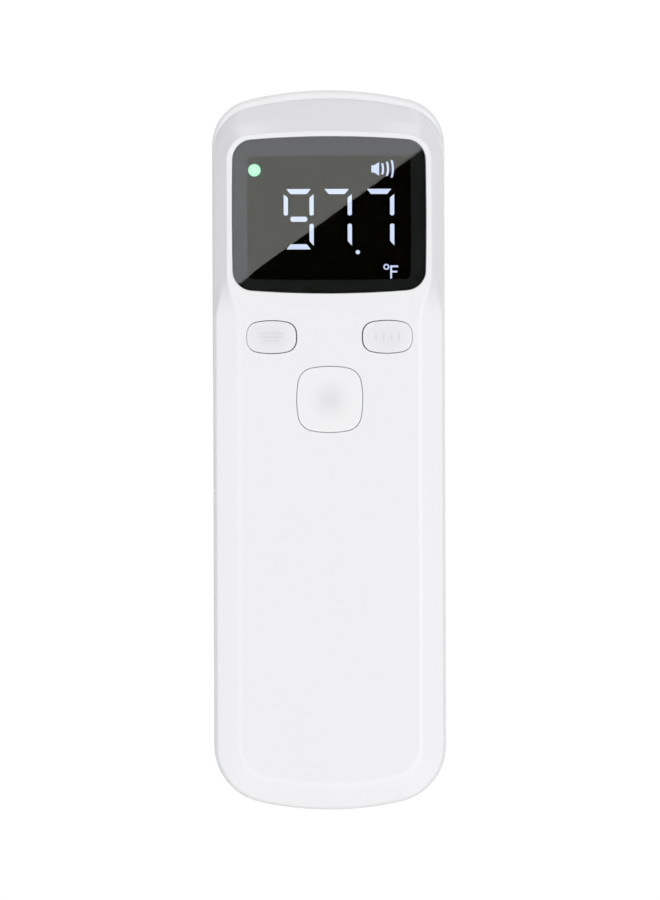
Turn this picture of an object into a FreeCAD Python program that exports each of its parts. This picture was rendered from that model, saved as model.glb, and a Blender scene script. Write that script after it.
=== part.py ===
import FreeCAD, Part
import math
import os

import Sketcher
from FreeCAD import Placement, Rotation, Vector

# Hand-held infrared thermometer, in millimetres, as a hand holds it: +Z runs up its length,
# the display and the buttons face -Y, and the sensor looks along +Y. The origin is the centre of the
# bounding box's base.

DIMENSIONS = (
    ("case_length", 149.0, "lower end to top of the rear shell"),
    ("case_half", 24.0, "half the width of the case"),
    ("front_y", -19.0, "plane of the front panel"),
    ("part_y", -11.0, "parting plane between the front and the rear"),
    ("grip_y", 3.0, "back of the handle"),
    ("head_y", 15.5, "back of the head"),
    ("rim_y", 19.0, "rim of the nozzle"),
    ("wall", 2.0, "wall of the rear shell and the cover"),
    ("front_wall", 2.4, "thickness of the front panel"),
    ("seam", 0.2, "gap between parts that move apart"),
    ("end_radius", 66.0, "arc of the lower end"),
    ("end_corner", 12.0, "corner of the lower end"),
    ("top_radius", 72.0, "arc of the top"),
    ("top_corner", 9.5, "corner of the top"),
    ("top_flare", 1.7, "height of the rear shell above the front shell"),
    ("flare_depth", 0.9, "depth over which the rear shell flares"),
    ("panel_inset", 5.3, "case side to panel crease, and lower end to crease"),
    ("shoulder_drop", 1.4, "fall of the shoulder beside the panel"),
    ("shoulder_edge", 0.5, "case side to the shoulder's outer edge"),
    ("side_y", -15.2, "where the side wall begins behind the facets"),
    ("land_width", 1.05, "flat land round the window"),
    ("land_top", 140.3, "top of the land"),
    ("turn_low", 103.0, "where the panel starts to widen into the land"),
    ("turn_high", 108.5, "where the land has its full width"),
    ("bend_low", 80.0, "start of the bend from handle to head"),
    ("bend_high", 108.0, "end of the bend from handle to head"),
    ("back_round", 8.0, "rounding of the rear edges"),
    ("window_width", 40.2, "display window"),
    ("window_height", 32.5, "display window"),
    ("window_z", 123.0, "centre of the display window"),
    ("window_bow", 206.0, "arc of the window's upper and lower edge"),
    ("window_side", 600.0, "arc of the window's sides"),
    ("window_corner", 4.2, "corner of the window"),
    ("window_thick", 1.2, "thickness of the window"),
    ("mask_thick", 0.1, "printed border film behind the window"),
    ("gasket_thick", 0.2, "adhesive gasket"),
    ("view_width", 33.8, "clear area inside the printed border"),
    ("view_height", 25.7, "clear area inside the printed border"),
    ("view_z", 122.45, "centre of the clear area"),
    ("view_corner", 1.2, "corner of the clear area"),
    ("ledge", 2.0, "ledge that carries the window"),
    ("window_play", 0.08, "gap round the window in its seat"),
    ("digit_height", 12.47, "height of a numeral"),
    ("digit_width", 6.2, "width of a numeral"),
    ("digit_pitch", 7.89, "numeral to numeral"),
    ("point_space", 0.87, "more space where the decimal point is"),
    ("digit_right", 4.72, "right edge of the middle numeral"),
    ("digit_z", 122.15, "centre of the numerals"),
    ("lamp_radius", 1.3, "status lamp"),
    ("lamp_x", -15.4, "status lamp"),
    ("lamp_z", 132.3, "status lamp"),
    ("sound_x", 11.42, "loudspeaker sign"),
    ("sound_z", 132.5, "loudspeaker sign"),
    ("unit_x", 11.8, "ring of the degree sign"),
    ("unit_z", 111.2, "middle of the degree sign"),
    ("dish_radius", 18.0, "sphere that hollows the large button"),
    ("dish_deep", 0.25, "depth of the large button's hollow"),
    ("bar_thick", 1.06, "height of a level segment"),
    ("bar_slim", 0.88, "width of an upright segment"),
    ("segment_deep", 2.0, "depth of a segment's light well"),
    ("scan_width", 13.6, "large button cap"),
    ("scan_z", 84.9, "centre of the large button"),
    ("scan_side", 20.0, "arc of the large button's sides"),
    ("scan_corner", 3.4, "corner of the large button"),
    ("key_width", 10.2, "small button cap"),
    ("key_height", 6.7, "small button cap"),
    ("key_x", 12.0, "small button to the middle"),
    ("key_z", 97.8, "centre of the small buttons"),
    ("key_bow", 16.0, "arc of a small button's upper and lower edge"),
    ("key_end", 9.0, "arc of a small button's ends"),
    ("key_corner", 2.4, "corner of a small button"),
    ("key_gap", 0.18, "gap round a button"),
    ("key_flange", 0.8, "flange that keeps a button in"),
    ("flange_thick", 0.8, "thickness of that flange"),
    ("rail_x", 18.2, "inner face of a cover rail"),
    ("rail_web", 1.2, "web of a cover rail"),
    ("rail_reach", 3.0, "whole width of a cover rail"),
    ("rail_rise", 2.1, "parting plane to the front of a rail's arm"),
    ("rail_arm", 1.0, "thickness of a rail's arm"),
    ("rail_low", 16.0, "lower end of the rails and tongues"),
    ("rail_long", 44.0, "length of the rails and tongues"),
    ("tongue_x", 19.7, "inner edge of a cover tongue"),
    ("tongue_thick", 1.4, "thickness of a cover tongue"),
    ("lip_x", 9.3, "inner edge of a cover lip"),
    ("lip_width", 3.5, "width of a cover lip"),
    ("lip_root", 4.0, "cover lip below the cover's edge"),
    ("lip_long", 6.6, "whole height of a cover lip"),
    ("groove_long", 15.0, "grip groove"),
    ("groove_high", 1.0, "grip groove"),
    ("groove_deep", 0.5, "grip groove"),
    ("groove_pitch", 2.2, "groove to groove"),
    ("groove_drop", 9.0, "cover's edge to the first groove"),
    ("sound_radius", 0.8, "sound hole"),
    ("sound_pitch", 3.2, "sound hole to sound hole"),
    ("board_y", -13.0, "front of the main board"),
    ("board_thick", 1.6, "main board"),
    ("board_half", 20.0, "half the width of the main board"),
    ("board_low", 75.2, "lower edge of the main board"),
    ("board_high", 137.4, "upper edge of the main board"),
    ("post_radius", 2.0, "screw post"),
    ("pilot_radius", 0.7, "pilot hole in a screw post"),
    ("boss_radius", 3.2, "boss round a case screw"),
    ("boss_deep", 5.0, "back of the handle to the front of a boss"),
    ("screw_radius", 0.7, "thread of a small screw"),
    ("screw_play", 0.2, "clearance of a screw in a plain hole"),
    ("head_radius", 1.7, "head of a small screw"),
    ("head_thick", 1.2, "head of a small screw"),
    ("head_play", 0.4, "clearance round a screw head in its counterbore"),
    ("head_seat", 0.8, "plastic under a case screw's head, inside the wall"),
    ("recess_long", 1.8, "arm of a screw's cross recess"),
    ("recess_wide", 0.4, "arm of a screw's cross recess"),
    ("recess_deep", 0.5, "depth of a screw's cross recess"),
    ("board_post_x", 18.0, "board screws to the middle"),
    ("board_post_low", 78.6, "lower board screws"),
    ("board_post_high", 105.5, "upper board screws"),
    ("case_post_x", 12.5, "case screws to the middle"),
    ("case_post_z", 72.4, "case screws"),
    ("switch_side", 6.0, "side of a switch body"),
    ("switch_tall", 1.6, "height of a switch body"),
    ("plunger_radius", 1.5, "switch plunger"),
    ("plunger_out", 0.6, "plunger above the switch body"),
    ("plunger_play", 0.08, "gap round a plunger in its guide"),
    ("pin_radius", 0.25, "display pin"),
    ("pin_pitch", 2.54, "display pin to display pin"),
    ("pin_rows", 11.0, "rows of display pins to the window's centre"),
    ("chip_side", 10.0, "controller chip"),
    ("chip_thick", 1.4, "controller chip"),
    ("crystal_long", 8.0, "timing crystal"),
    ("crystal_wide", 4.0, "timing crystal"),
    ("crystal_tall", 1.2, "timing crystal"),
    ("sounder_radius", 5.5, "sounder"),
    ("sounder_tall", 4.2, "sounder"),
    ("socket_wide", 9.0, "ribbon socket"),
    ("socket_tall", 1.6, "ribbon socket"),
    ("socket_high", 3.0, "ribbon socket"),
    ("cover_top", 66.0, "upper edge of the battery cover"),
    ("cell_radius", 5.25, "AAA cell"),
    ("cell_body", 43.5, "AAA cell without its cap"),
    ("cell_cap", 1.0, "positive cap of the cell"),
    ("cell_x", 5.6, "cell axis to the middle"),
    ("cell_y", -4.5, "cell axis"),
    ("bay_low", 9.0, "lower end of the cell bay"),
    ("spring_long", 4.2, "fitted length of a cell spring"),
    ("plate", 0.4, "thickness of a contact plate"),
    ("spring_radius", 2.6, "coil of a cell spring"),
    ("spring_wire", 0.35, "radius of the spring wire"),
    ("tray_wall", 1.2, "wall of the battery tray"),
    ("tray_y", -11.2, "front of the battery tray"),
    ("tray_half", 11.4, "half the width inside the battery tray"),
    ("tray_back", -1.0, "back of the battery tray"),
    ("contact_half", 10.4, "middle to the outer edge of a contact plate"),
    ("contact_deep", 8.3, "depth of a contact plate"),
    ("tab_y", -8.2, "front of a contact tab"),
    ("tab_wide", 2.4, "contact tab"),
    ("tab_high", 3.0, "contact tab with its plate"),
    ("cap_radius", 1.9, "positive cap of the cell"),
    ("lead_radius", 0.5, "insulated wire"),
    ("lead_bend", 2.0, "bend of an insulated wire"),
    ("tray_post_x", 15.6, "tray screws to the middle"),
    ("tray_post_z", 34.0, "tray screws"),
    ("nozzle_z", 123.0, "axis of the sensor"),
    ("nozzle_radius", 12.75, "outside of the nozzle"),
    ("nozzle_spigot", 11.2, "part of the nozzle in the rear shell"),
    ("throat_radius", 5.2, "inner end of the nozzle's cone"),
    ("throat_y", 8.0, "inner end of the nozzle"),
    ("sleeve_radius", 4.9, "brass sleeve round the sensor"),
    ("sleeve_bore", 2.9, "bore of the sleeve"),
    ("sleeve_long", 6.6, "length of the sleeve"),
    ("sleeve_foot", 2.0, "width of the sleeve's foot"),
    ("can_radius", 2.35, "sensor can"),
    ("can_base", 1.6, "sensor board to the can"),
    ("can_brim", 0.5, "thickness of the can's brim"),
    ("can_end", 5.0, "sensor board to the can's end"),
    ("can_view", 1.3, "window of the can"),
    ("can_lead", 0.22, "lead of the can"),
    ("can_pitch", 1.27, "lead of the can to its axis"),
    ("sensor_board_y", 1.0, "face of the sensor board"),
    ("sensor_board_thick", 1.2, "sensor board"),
    ("sensor_board_high", 14.0, "sensor board"),
    ("ribbon_z", 107.9, "ribbon cable at the main board"),
    ("ribbon_thick", 0.2, "ribbon cable"),
    ("ribbon_wide", 7.0, "ribbon cable"),
    ("sensor_post_x", 14.5, "sensor board screws to the middle"),
)

doc = FreeCAD.newDocument("DigitalThermometer")
sheet = doc.addObject("Spreadsheet::Sheet", "Dims")
nodes = []


def fill_sheet():
    """Write each driving dimension into a row of the sheet: note, value, alias."""
    for row, (alias, value, note) in enumerate(DIMENSIONS, start=1):
        sheet.set(f"A{row}", note)
        sheet.set(f"B{row}", str(value))
        sheet.setAlias(f"B{row}", alias)
    doc.recompute()


def size(rule):
    """The present value of a rule written in the sheet's aliases."""
    return float(sheet.evalExpression(rule))


def node(item, label):
    """Name a finished sub-part and list it for checking and writing out."""
    item.Label = label
    nodes.append(item)
    return item


# ---------------------------------------------------------------- primitives and booleans

def place(item, corner):
    """Bind an item's position to three rules, in X, Y and Z."""
    for axis, rule in zip("xyz", corner):
        item.setExpression(f"Placement.Base.{axis}", rule)


def block(name, extent, corner):
    """A rectangular block from its extents and its lowest corner."""
    item = doc.addObject("Part::Box", name)
    for side, rule in zip(("Length", "Width", "Height"), extent):
        item.setExpression(side, rule)
    place(item, corner)
    return item


def rod(name, radius, length, start, along=Vector(0, 1, 0)):
    """A round rod from the centre of its first face."""
    item = doc.addObject("Part::Cylinder", name)
    item.setExpression("Radius", radius)
    item.setExpression("Height", length)
    item.Placement = Placement(Vector(), Rotation(Vector(0, 0, 1), along))
    place(item, start)
    return item


def group(name, items):
    """Several separate solids in one item."""
    item = doc.addObject("Part::Compound", name)
    item.Links = items
    return item


def join(name, items):
    """Solids that touch, as one solid."""
    item = doc.addObject("Part::MultiFuse", name)
    item.Shapes = items
    return item


def cut(name, base, tools):
    """A solid with one or more tools taken out of it."""
    item = doc.addObject("Part::Cut", name)
    item.Base = base
    item.Tool = tools[0] if len(tools) == 1 else join(f"{name}_tools", tools)
    return item


def keep(name, base, tool):
    """The part of a solid that lies inside a tool."""
    item = doc.addObject("Part::Common", name)
    item.Base = base
    item.Tool = tool
    return item


# ---------------------------------------------------------------- sketches and features

def new_body(name):
    """An empty design body that may hold several solids."""
    item = doc.addObject("PartDesign::Body", name)
    item.AllowCompound = True
    return item


def new_sketch(body, name, role, level):
    """A sketch on one of its body's origin planes, moved along the plane's normal."""
    sketch = body.newObject("Sketcher::SketchObject", name)
    plane = next(item for item in body.Origin.OriginFeatures if item.Role == role)
    sketch.AttachmentSupport = [(plane, "")]
    sketch.MapMode = "FlatFace"
    sketch.setExpression("AttachmentOffset.Base.z", level)
    return sketch


def drive(sketch, kind, where, rule):
    """A dimension of a sketch that follows a rule of the sheet."""
    index = sketch.addConstraint(Sketcher.Constraint(kind, *where, size(rule)))
    sketch.setExpression(f"Constraints[{index}]", rule)


def pin_point(sketch, edge, end, across=None, up=None):
    """Bind a point's distance from the sketch's origin."""
    if across:
        drive(sketch, "DistanceX", (-1, 1, edge, end), across)
    if up:
        drive(sketch, "DistanceY", (-1, 1, edge, end), up)


def arc(middle, radius, first, last):
    """An arc from one angle to another, in radians, anticlockwise."""
    circle = Part.Circle(Vector(middle[0], middle[1], 0), Vector(0, 0, 1), radius)
    return Part.ArcOfCircle(circle, first, last)


def close_loop(sketch, count, sharp=()):
    """Join each edge of a loop to the next, tangent except after the sharp ones."""
    for edge in range(count):
        kind = "Coincident" if edge in sharp else "Tangent"
        sketch.addConstraint(Sketcher.Constraint(kind, edge, 2, (edge + 1) % count, 1))


def case_outline(body, name, level, low, high):
    """Outline of the case across one plane, symmetric about the Z axis.

    low and high give half width, end, end radius and corner radius of the lower and the upper
    part. The sides step from one width to the other between the two turn heights.
    """
    sketch = new_sketch(body, name, "XZ_Plane", level)
    low_half, base, low_arc, low_corner = (size(rule) for rule in low)
    high_half, top, high_arc, high_corner = (size(rule) for rule in high)
    turn = (size("Dims.turn_low"), size("Dims.turn_high"))
    low_tilt = math.asin((low_half - low_corner) / (low_arc - low_corner))
    high_tilt = math.asin((high_half - high_corner) / (high_arc - high_corner))
    low_z = base + low_arc - (low_arc - low_corner) * math.cos(low_tilt)
    high_z = top - high_arc + (high_arc - high_corner) * math.cos(high_tilt)
    down, right, up, left = -math.pi / 2, 0.0, math.pi / 2, math.pi

    def line(start, end):
        return Part.LineSegment(Vector(*start, 0), Vector(*end, 0))

    sketch.addGeometry([
        arc((0, base + low_arc), low_arc, down - low_tilt, down + low_tilt),
        arc((low_half - low_corner, low_z), low_corner, down + low_tilt, right),
        line((low_half, low_z), (low_half, turn[0])),
        line((low_half, turn[0]), (high_half, turn[1])),
        line((high_half, turn[1]), (high_half, high_z)),
        arc((high_half - high_corner, high_z), high_corner, right, up - high_tilt),
        arc((0, top - high_arc), high_arc, up - high_tilt, up + high_tilt),
        arc((high_corner - high_half, high_z), high_corner, up + high_tilt, left),
        line((-high_half, high_z), (-high_half, turn[1])),
        line((-high_half, turn[1]), (-low_half, turn[0])),
        line((-low_half, turn[0]), (-low_half, low_z)),
        arc((low_corner - low_half, low_z), low_corner, left, left - down - low_tilt),
    ])
    close_loop(sketch, 12, sharp=(2, 3, 8, 9))
    for edge in (2, 4, 8, 10):
        sketch.addConstraint(Sketcher.Constraint("Vertical", edge))
    radii = ((0, low[2]), (1, low[3]), (11, low[3]), (6, high[2]), (5, high[3]), (7, high[3]))
    for edge, rule in radii:
        drive(sketch, "Radius", (edge,), rule)
    for edge in (0, 6):
        sketch.addConstraint(Sketcher.Constraint("PointOnObject", edge, 3, -2))
    pin_point(sketch, 0, 3, up=f"({low[1]}) + ({low[2]})")
    pin_point(sketch, 6, 3, up=f"({high[1]}) - ({high[2]})")
    pin_point(sketch, 2, 2, low[0], "Dims.turn_low")
    pin_point(sketch, 4, 1, high[0], "Dims.turn_high")
    pin_point(sketch, 8, 2, f"-({high[0]})", "Dims.turn_high")
    pin_point(sketch, 10, 1, f"-({low[0]})", "Dims.turn_low")
    return sketch


def circle_meet(first, first_radius, second, second_radius):
    """The upper right meeting point of two circles."""
    gap = math.dist(first, second)
    along = (first_radius ** 2 - second_radius ** 2 + gap ** 2) / (2 * gap)
    off = math.sqrt(first_radius ** 2 - along ** 2)
    ux, uz = (second[0] - first[0]) / gap, (second[1] - first[1]) / gap
    foot = (first[0] + along * ux, first[1] + along * uz)
    options = [(foot[0] - side * off * uz, foot[1] + side * off * ux) for side in (-1, 1)]
    return max(options, key=sum)


def cushion(body, name, level, middle, extent, radii):
    """Rounded outline with four bowed sides: extents, and radii of ends, sides and corners."""
    sketch = new_sketch(body, name, "XZ_Plane", level)
    cx, cz = (size(rule) for rule in middle)
    half_x, half_z = (size(rule) / 2 for rule in extent)
    bow, side, corner = (size(rule) for rule in radii)
    dx, dz = half_x - side, half_z - bow
    ux, uz = circle_meet((0, dz), bow - corner, (dx, 0), side - corner)
    side_tilt = math.atan2(uz, ux - dx)
    bow_tilt = math.atan2(uz - dz, ux)
    turn = math.pi
    sketch.addGeometry([
        arc((cx, cz - dz), bow, bow_tilt - turn, -bow_tilt),
        arc((cx + ux, cz - uz), corner, -bow_tilt, -side_tilt),
        arc((cx + dx, cz), side, -side_tilt, side_tilt),
        arc((cx + ux, cz + uz), corner, side_tilt, bow_tilt),
        arc((cx, cz + dz), bow, bow_tilt, turn - bow_tilt),
        arc((cx - ux, cz + uz), corner, turn - bow_tilt, turn - side_tilt),
        arc((cx - dx, cz), side, turn - side_tilt, turn + side_tilt),
        arc((cx - ux, cz - uz), corner, turn + side_tilt, turn + bow_tilt),
    ])
    close_loop(sketch, 8)
    for edge, rule in ((0, radii[0]), (4, radii[0]), (2, radii[1]), (6, radii[1])):
        drive(sketch, "Radius", (edge,), rule)
    for edge in (1, 3, 5, 7):
        drive(sketch, "Radius", (edge,), radii[2])
    reach_x = f"(({extent[0]}) / 2 - ({radii[1]}))"
    reach_z = f"(({extent[1]}) / 2 - ({radii[0]}))"
    pin_point(sketch, 0, 3, middle[0], f"({middle[1]}) - {reach_z}")
    pin_point(sketch, 4, 3, middle[0], f"({middle[1]}) + {reach_z}")
    pin_point(sketch, 2, 3, f"({middle[0]}) + {reach_x}", middle[1])
    pin_point(sketch, 6, 3, f"({middle[0]}) - {reach_x}", middle[1])
    return sketch


def polygons(body, name, role, level, loops):
    """Closed loops of straight edges, each corner bound to two rules."""
    sketch = new_sketch(body, name, role, level)
    first = 0
    for corners in loops:
        points = [Vector(size(across), size(up), 0) for across, up in corners]
        count = len(points)
        sketch.addGeometry([Part.LineSegment(points[i], points[(i + 1) % count]) for i in range(count)])
        for i, (across, up) in enumerate(corners):
            following = first + (i + 1) % count
            sketch.addConstraint(Sketcher.Constraint("Coincident", first + i, 2, following, 1))
            pin_point(sketch, first + i, 1, across, up)
        first += count
    return sketch


def polygon(body, name, role, level, corners):
    """One closed loop of straight edges."""
    return polygons(body, name, role, level, [corners])


def discs(body, name, level, middles, radius):
    """Equal circles in a plane across Y."""
    sketch = new_sketch(body, name, "XZ_Plane", level)
    for edge, (across, up) in enumerate(middles):
        centre = Vector(size(across), size(up), 0)
        sketch.addGeometry(Part.Circle(centre, Vector(0, 0, 1), size(radius)))
        drive(sketch, "Radius", (edge,), radius)
        pin_point(sketch, edge, 3, across, up)
    return sketch


def feature(kind, body, sketch, length, reverse=False):
    """A pad or pocket of one sketch."""
    item = body.newObject(f"PartDesign::{kind}", f"{sketch.Name}_{kind}")
    item.Profile = sketch
    item.setExpression("Length", length)
    item.Reversed = reverse
    return item


def pad_back(body, sketch, length):
    """Add material from the sketch towards +Y."""
    return feature("Pad", body, sketch, length, reverse=True)


def pocket_back(body, sketch, length):
    """Take material from the sketch towards +Y."""
    return feature("Pocket", body, sketch, length)


def pocket_forward(body, sketch, length):
    """Take material from the sketch towards -Y."""
    return feature("Pocket", body, sketch, length, reverse=True)


def loft(body, name, sketches):
    """A solid with straight walls between outlines."""
    item = body.newObject("PartDesign::AdditiveLoft", name)
    item.Profile = sketches[0]
    item.Sections = sketches[1:]
    item.Ruled = True
    return item


def both_sides(across, up):
    """The two mirrored positions of a pair of posts or screws."""
    return [(f"-{across}", up), (across, up)]


BOARD_SCREWS = both_sides("Dims.board_post_x", "Dims.board_post_low")
BOARD_SCREWS += both_sides("Dims.board_post_x", "Dims.board_post_high")
CASE_SCREWS = both_sides("Dims.case_post_x", "Dims.case_post_z")
TRAY_SCREWS = both_sides("Dims.tray_post_x", "Dims.tray_post_z")
SENSOR_SCREWS = both_sides("Dims.sensor_post_x", "Dims.nozzle_z")


# ---------------------------------------------------------------- case

CASE_LOW = ("Dims.case_half", "0", "Dims.end_radius", "Dims.end_corner")


def inset_low(inset):
    """The lower part of the case outline, moved inwards."""
    return tuple(f"{rule} {sign} ({inset})" for rule, sign in zip(CASE_LOW, "-+--"))


def front_outlines(body):
    """Four outlines of the front shell, from the parting plane to the panel."""
    slope = "(Dims.case_length - Dims.top_flare - Dims.land_top) / (Dims.part_y - Dims.front_y)"
    side_top = f"Dims.land_top + (Dims.side_y - Dims.front_y) * {slope}"
    land_half = "Dims.window_width / 2 + Dims.land_width"
    parting = case_outline(
        body, "parting", "-Dims.part_y", CASE_LOW,
        ("Dims.case_half", "Dims.case_length - Dims.top_flare", "Dims.top_radius", "Dims.top_corner"),
    )
    side = case_outline(
        body, "side", "-Dims.side_y", CASE_LOW,
        ("Dims.case_half", side_top, "Dims.top_radius + 12", "Dims.top_corner - 1"),
    )
    shoulder = case_outline(
        body, "shoulder", "-Dims.front_y - Dims.shoulder_drop", inset_low("Dims.shoulder_edge"),
        (f"{land_half} + Dims.shoulder_drop * 3 / 4", f"Dims.land_top + Dims.shoulder_drop * {slope}",
         "Dims.top_radius + 60", "Dims.top_corner - 2.8"),
    )
    panel = case_outline(
        body, "panel", "-Dims.front_y", inset_low("Dims.panel_inset"),
        (land_half, "Dims.land_top", "Dims.window_bow + Dims.land_width",
         "Dims.window_corner + Dims.land_width"),
    )
    return [parting, side, shoulder, panel]


def window_cushion(body, name, level, grow):
    """The window's outline, grown or shrunk all round."""
    return cushion(
        body, name, level, ("0", "Dims.window_z"),
        (f"Dims.window_width + 2 * ({grow})", f"Dims.window_height + 2 * ({grow})"),
        (f"Dims.window_bow + ({grow})", f"Dims.window_side + ({grow})", f"Dims.window_corner + ({grow})"),
    )


def scan_cushion(body, name, level, grow):
    """The large button's outline, grown all round."""
    width = f"Dims.scan_width + 2 * ({grow})"
    side = f"Dims.scan_side + ({grow})"
    corner = f"Dims.scan_corner + ({grow})"
    return cushion(body, name, level, ("0", "Dims.scan_z"), (width, width), (side, side, corner))


def key_cushion(body, name, level, across, grow):
    """A small button's outline, grown all round."""
    return cushion(
        body, name, level, (across, "Dims.key_z"),
        (f"Dims.key_width + 2 * ({grow})", f"Dims.key_height + 2 * ({grow})"),
        (f"Dims.key_bow + ({grow})", f"Dims.key_end + ({grow})", f"Dims.key_corner + ({grow})"),
    )


def cover_rail(body, sign):
    """An L-shaped rail inside the front shell that a tongue of the battery cover runs under."""
    foot = "Dims.front_y + Dims.front_wall - 0.9"
    arm = "Dims.part_y + Dims.rail_rise"
    inner, web = f"{sign} * Dims.rail_x", f"{sign} * (Dims.rail_x + Dims.rail_web)"
    outer, back = f"{sign} * (Dims.rail_x + Dims.rail_reach)", f"{arm} + Dims.rail_arm"
    corners = [(inner, foot), (web, foot), (web, arm), (outer, arm), (outer, back), (inner, back)]
    name = "rail_right" if sign > 0 else "rail_left"
    feature("Pad", body, polygon(body, name, "XY_Plane", "Dims.rail_low", corners), "Dims.rail_long")


def make_front_shell():
    """Front half of the case: panel, shoulders, head facets, openings, posts and rails."""
    body = new_body("front_shell_body")
    loft(body, "front_skin", front_outlines(body))
    inner_y = "(Dims.front_y + Dims.front_wall)"
    wide = case_outline(
        body, "wide_cavity", "-Dims.part_y", inset_low("Dims.wall"),
        ("Dims.case_half - Dims.wall", "Dims.land_top + 0.9", "Dims.top_radius + 12", "Dims.top_corner - 3"),
    )
    pocket_forward(body, wide, "Dims.part_y - Dims.side_y")
    narrow = case_outline(
        body, "narrow_cavity", "-Dims.side_y", inset_low("Dims.wall + 1.2"),
        ("Dims.case_half - Dims.wall - 1.2", "Dims.land_top - 0.6", "Dims.top_radius + 12",
         "Dims.top_corner - 4"),
    )
    pocket_forward(body, narrow, f"Dims.side_y - {inner_y}")
    through = "Dims.front_wall + 1"
    seat = window_cushion(body, "window_seat", "-Dims.front_y", "Dims.window_play")
    pocket_back(body, seat, "Dims.window_thick + Dims.mask_thick + Dims.gasket_thick")
    pocket_back(body, window_cushion(body, "window_opening", "-Dims.front_y", "-Dims.ledge"), through)
    pocket_back(body, scan_cushion(body, "scan_hole", "-Dims.front_y", "Dims.key_gap"), through)
    for name, across in (("left_hole", "-Dims.key_x"), ("right_hole", "Dims.key_x")):
        pocket_back(body, key_cushion(body, name, "-Dims.front_y", across, "Dims.key_gap"), through)
    root = f"-{inner_y} + 0.4"
    for name, middles, end in (
        ("board_posts", BOARD_SCREWS, "Dims.board_y"),
        ("tray_posts", TRAY_SCREWS, "Dims.tray_y"),
        ("case_posts", CASE_SCREWS, "Dims.grip_y - Dims.boss_deep"),
    ):
        pad_back(body, discs(body, name, root, middles, "Dims.post_radius"), f"{root} + {end}")
        pilots = discs(body, f"{name}_pilots", f"-({end})", middles, "Dims.pilot_radius")
        pocket_forward(body, pilots, f"{end} - {inner_y} - 0.4")
    for sign in (-1, 1):
        cover_rail(body, sign)
    return node(body, "front_shell")


def back_profile(body, inset):
    """Take away what lies behind the handle, the bend and the head, moved inwards by inset."""
    sketch = new_sketch(body, f"{body.Name}_profile", "YZ_Plane", "0")
    grip = size(f"Dims.grip_y - {inset}")
    head = size(f"Dims.head_y - {inset}")
    low, high, top = size("Dims.bend_low"), size("Dims.bend_high"), size("Dims.case_length")
    rise, run = high - low, head - grip
    bend = (rise ** 2 + run ** 2) / (4 * run)
    tilt = math.asin(rise / 2 / bend)
    far = 30.0

    def line(start, end):
        return Part.LineSegment(Vector(*start, 0), Vector(*end, 0))

    sketch.addGeometry([
        line((grip, -far), (grip, low)),
        arc((grip + bend, low), bend, math.pi - tilt, math.pi),
        arc((head - bend, high), bend, -tilt, 0.0),
        line((head, high), (head, top + far)),
        line((head, top + far), (far, top + far)),
        line((far, top + far), (far, -far)),
        line((far, -far), (grip, -far)),
    ])
    for first, second in (((0, 2), (1, 2)), ((1, 1), (2, 1)), ((2, 2), (3, 1))):
        sketch.addConstraint(Sketcher.Constraint("Tangent", *first, *second))
    for first, second in ((3, 4), (4, 5), (5, 6), (6, 0)):
        sketch.addConstraint(Sketcher.Constraint("Coincident", first, 2, second, 1))
    for edge in (0, 3, 5):
        sketch.addConstraint(Sketcher.Constraint("Vertical", edge))
    for edge in (4, 6):
        sketch.addConstraint(Sketcher.Constraint("Horizontal", edge))
    sketch.addConstraint(Sketcher.Constraint("Equal", 1, 2))
    pin_point(sketch, 0, 2, f"Dims.grip_y - {inset}", "Dims.bend_low")
    pin_point(sketch, 3, 1, f"Dims.head_y - {inset}", "Dims.bend_high")
    pin_point(sketch, 4, 2, f"{far}", f"Dims.case_length + {far}")
    pin_point(sketch, 6, 1, up=f"-{far}")
    item = feature("Pocket", body, sketch, "4 * Dims.case_half")
    item.Midplane = True


def rear_form(name, inset, rounding):
    """The rear half of the case as a filled form, moved inwards by inset."""
    body = new_body(name)

    def outline(label, level, top):
        high = (f"Dims.case_half - {inset}", f"{top} - {inset}", f"Dims.top_radius - {inset}",
                f"Dims.top_corner - {inset}")
        return case_outline(body, f"{name}_{label}", level, inset_low(inset), high)

    full_level = "-Dims.part_y - Dims.flare_depth"
    flare = outline("flare", "-Dims.part_y - Dims.seam", "Dims.case_length - Dims.top_flare")
    full = outline("full", full_level, "Dims.case_length")
    loft(body, f"{name}_flare_loft", [flare, full])
    pad_back(body, outline("depth", full_level, "Dims.case_length"), "Dims.head_y - Dims.part_y")
    back_profile(body, inset)
    doc.recompute()
    tip = body.Tip
    edges = rear_edges(tip.Shape, size(f"Dims.grip_y - {inset}"))
    fillet = body.newObject("PartDesign::Fillet", f"{name}_rounding")
    fillet.Base = (tip, edges)
    fillet.setExpression("Radius", rounding)
    return body


def rear_edges(shape, grip):
    """Names of the edges round the back of a rear form."""
    near, head = 0.01, size("Dims.head_y")
    names = []
    for index, edge in enumerate(shape.Edges, start=1):
        box = edge.BoundBox
        if box.YMin > grip - near and box.YMax < head + near and abs(edge.CenterOfMass.x) > 1:
            names.append(f"Edge{index}")
    return names


def make_rear_hollow():
    """The hollow rear half, before it is parted into the rear shell and the battery cover."""
    outer = rear_form("rear_outer", "0", "Dims.back_round")
    inner = rear_form("rear_inner", "Dims.wall", "Dims.back_round - Dims.wall")
    return cut("rear_hollow", outer, [inner])


def slab(name, low, high):
    """A block wider and deeper than the case, between two heights."""
    reach, corner = "2 * Dims.case_half + 20", "-Dims.case_half - 10"
    return block(name, (reach, reach, f"({high}) - ({low})"), (corner, corner, low))


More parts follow.
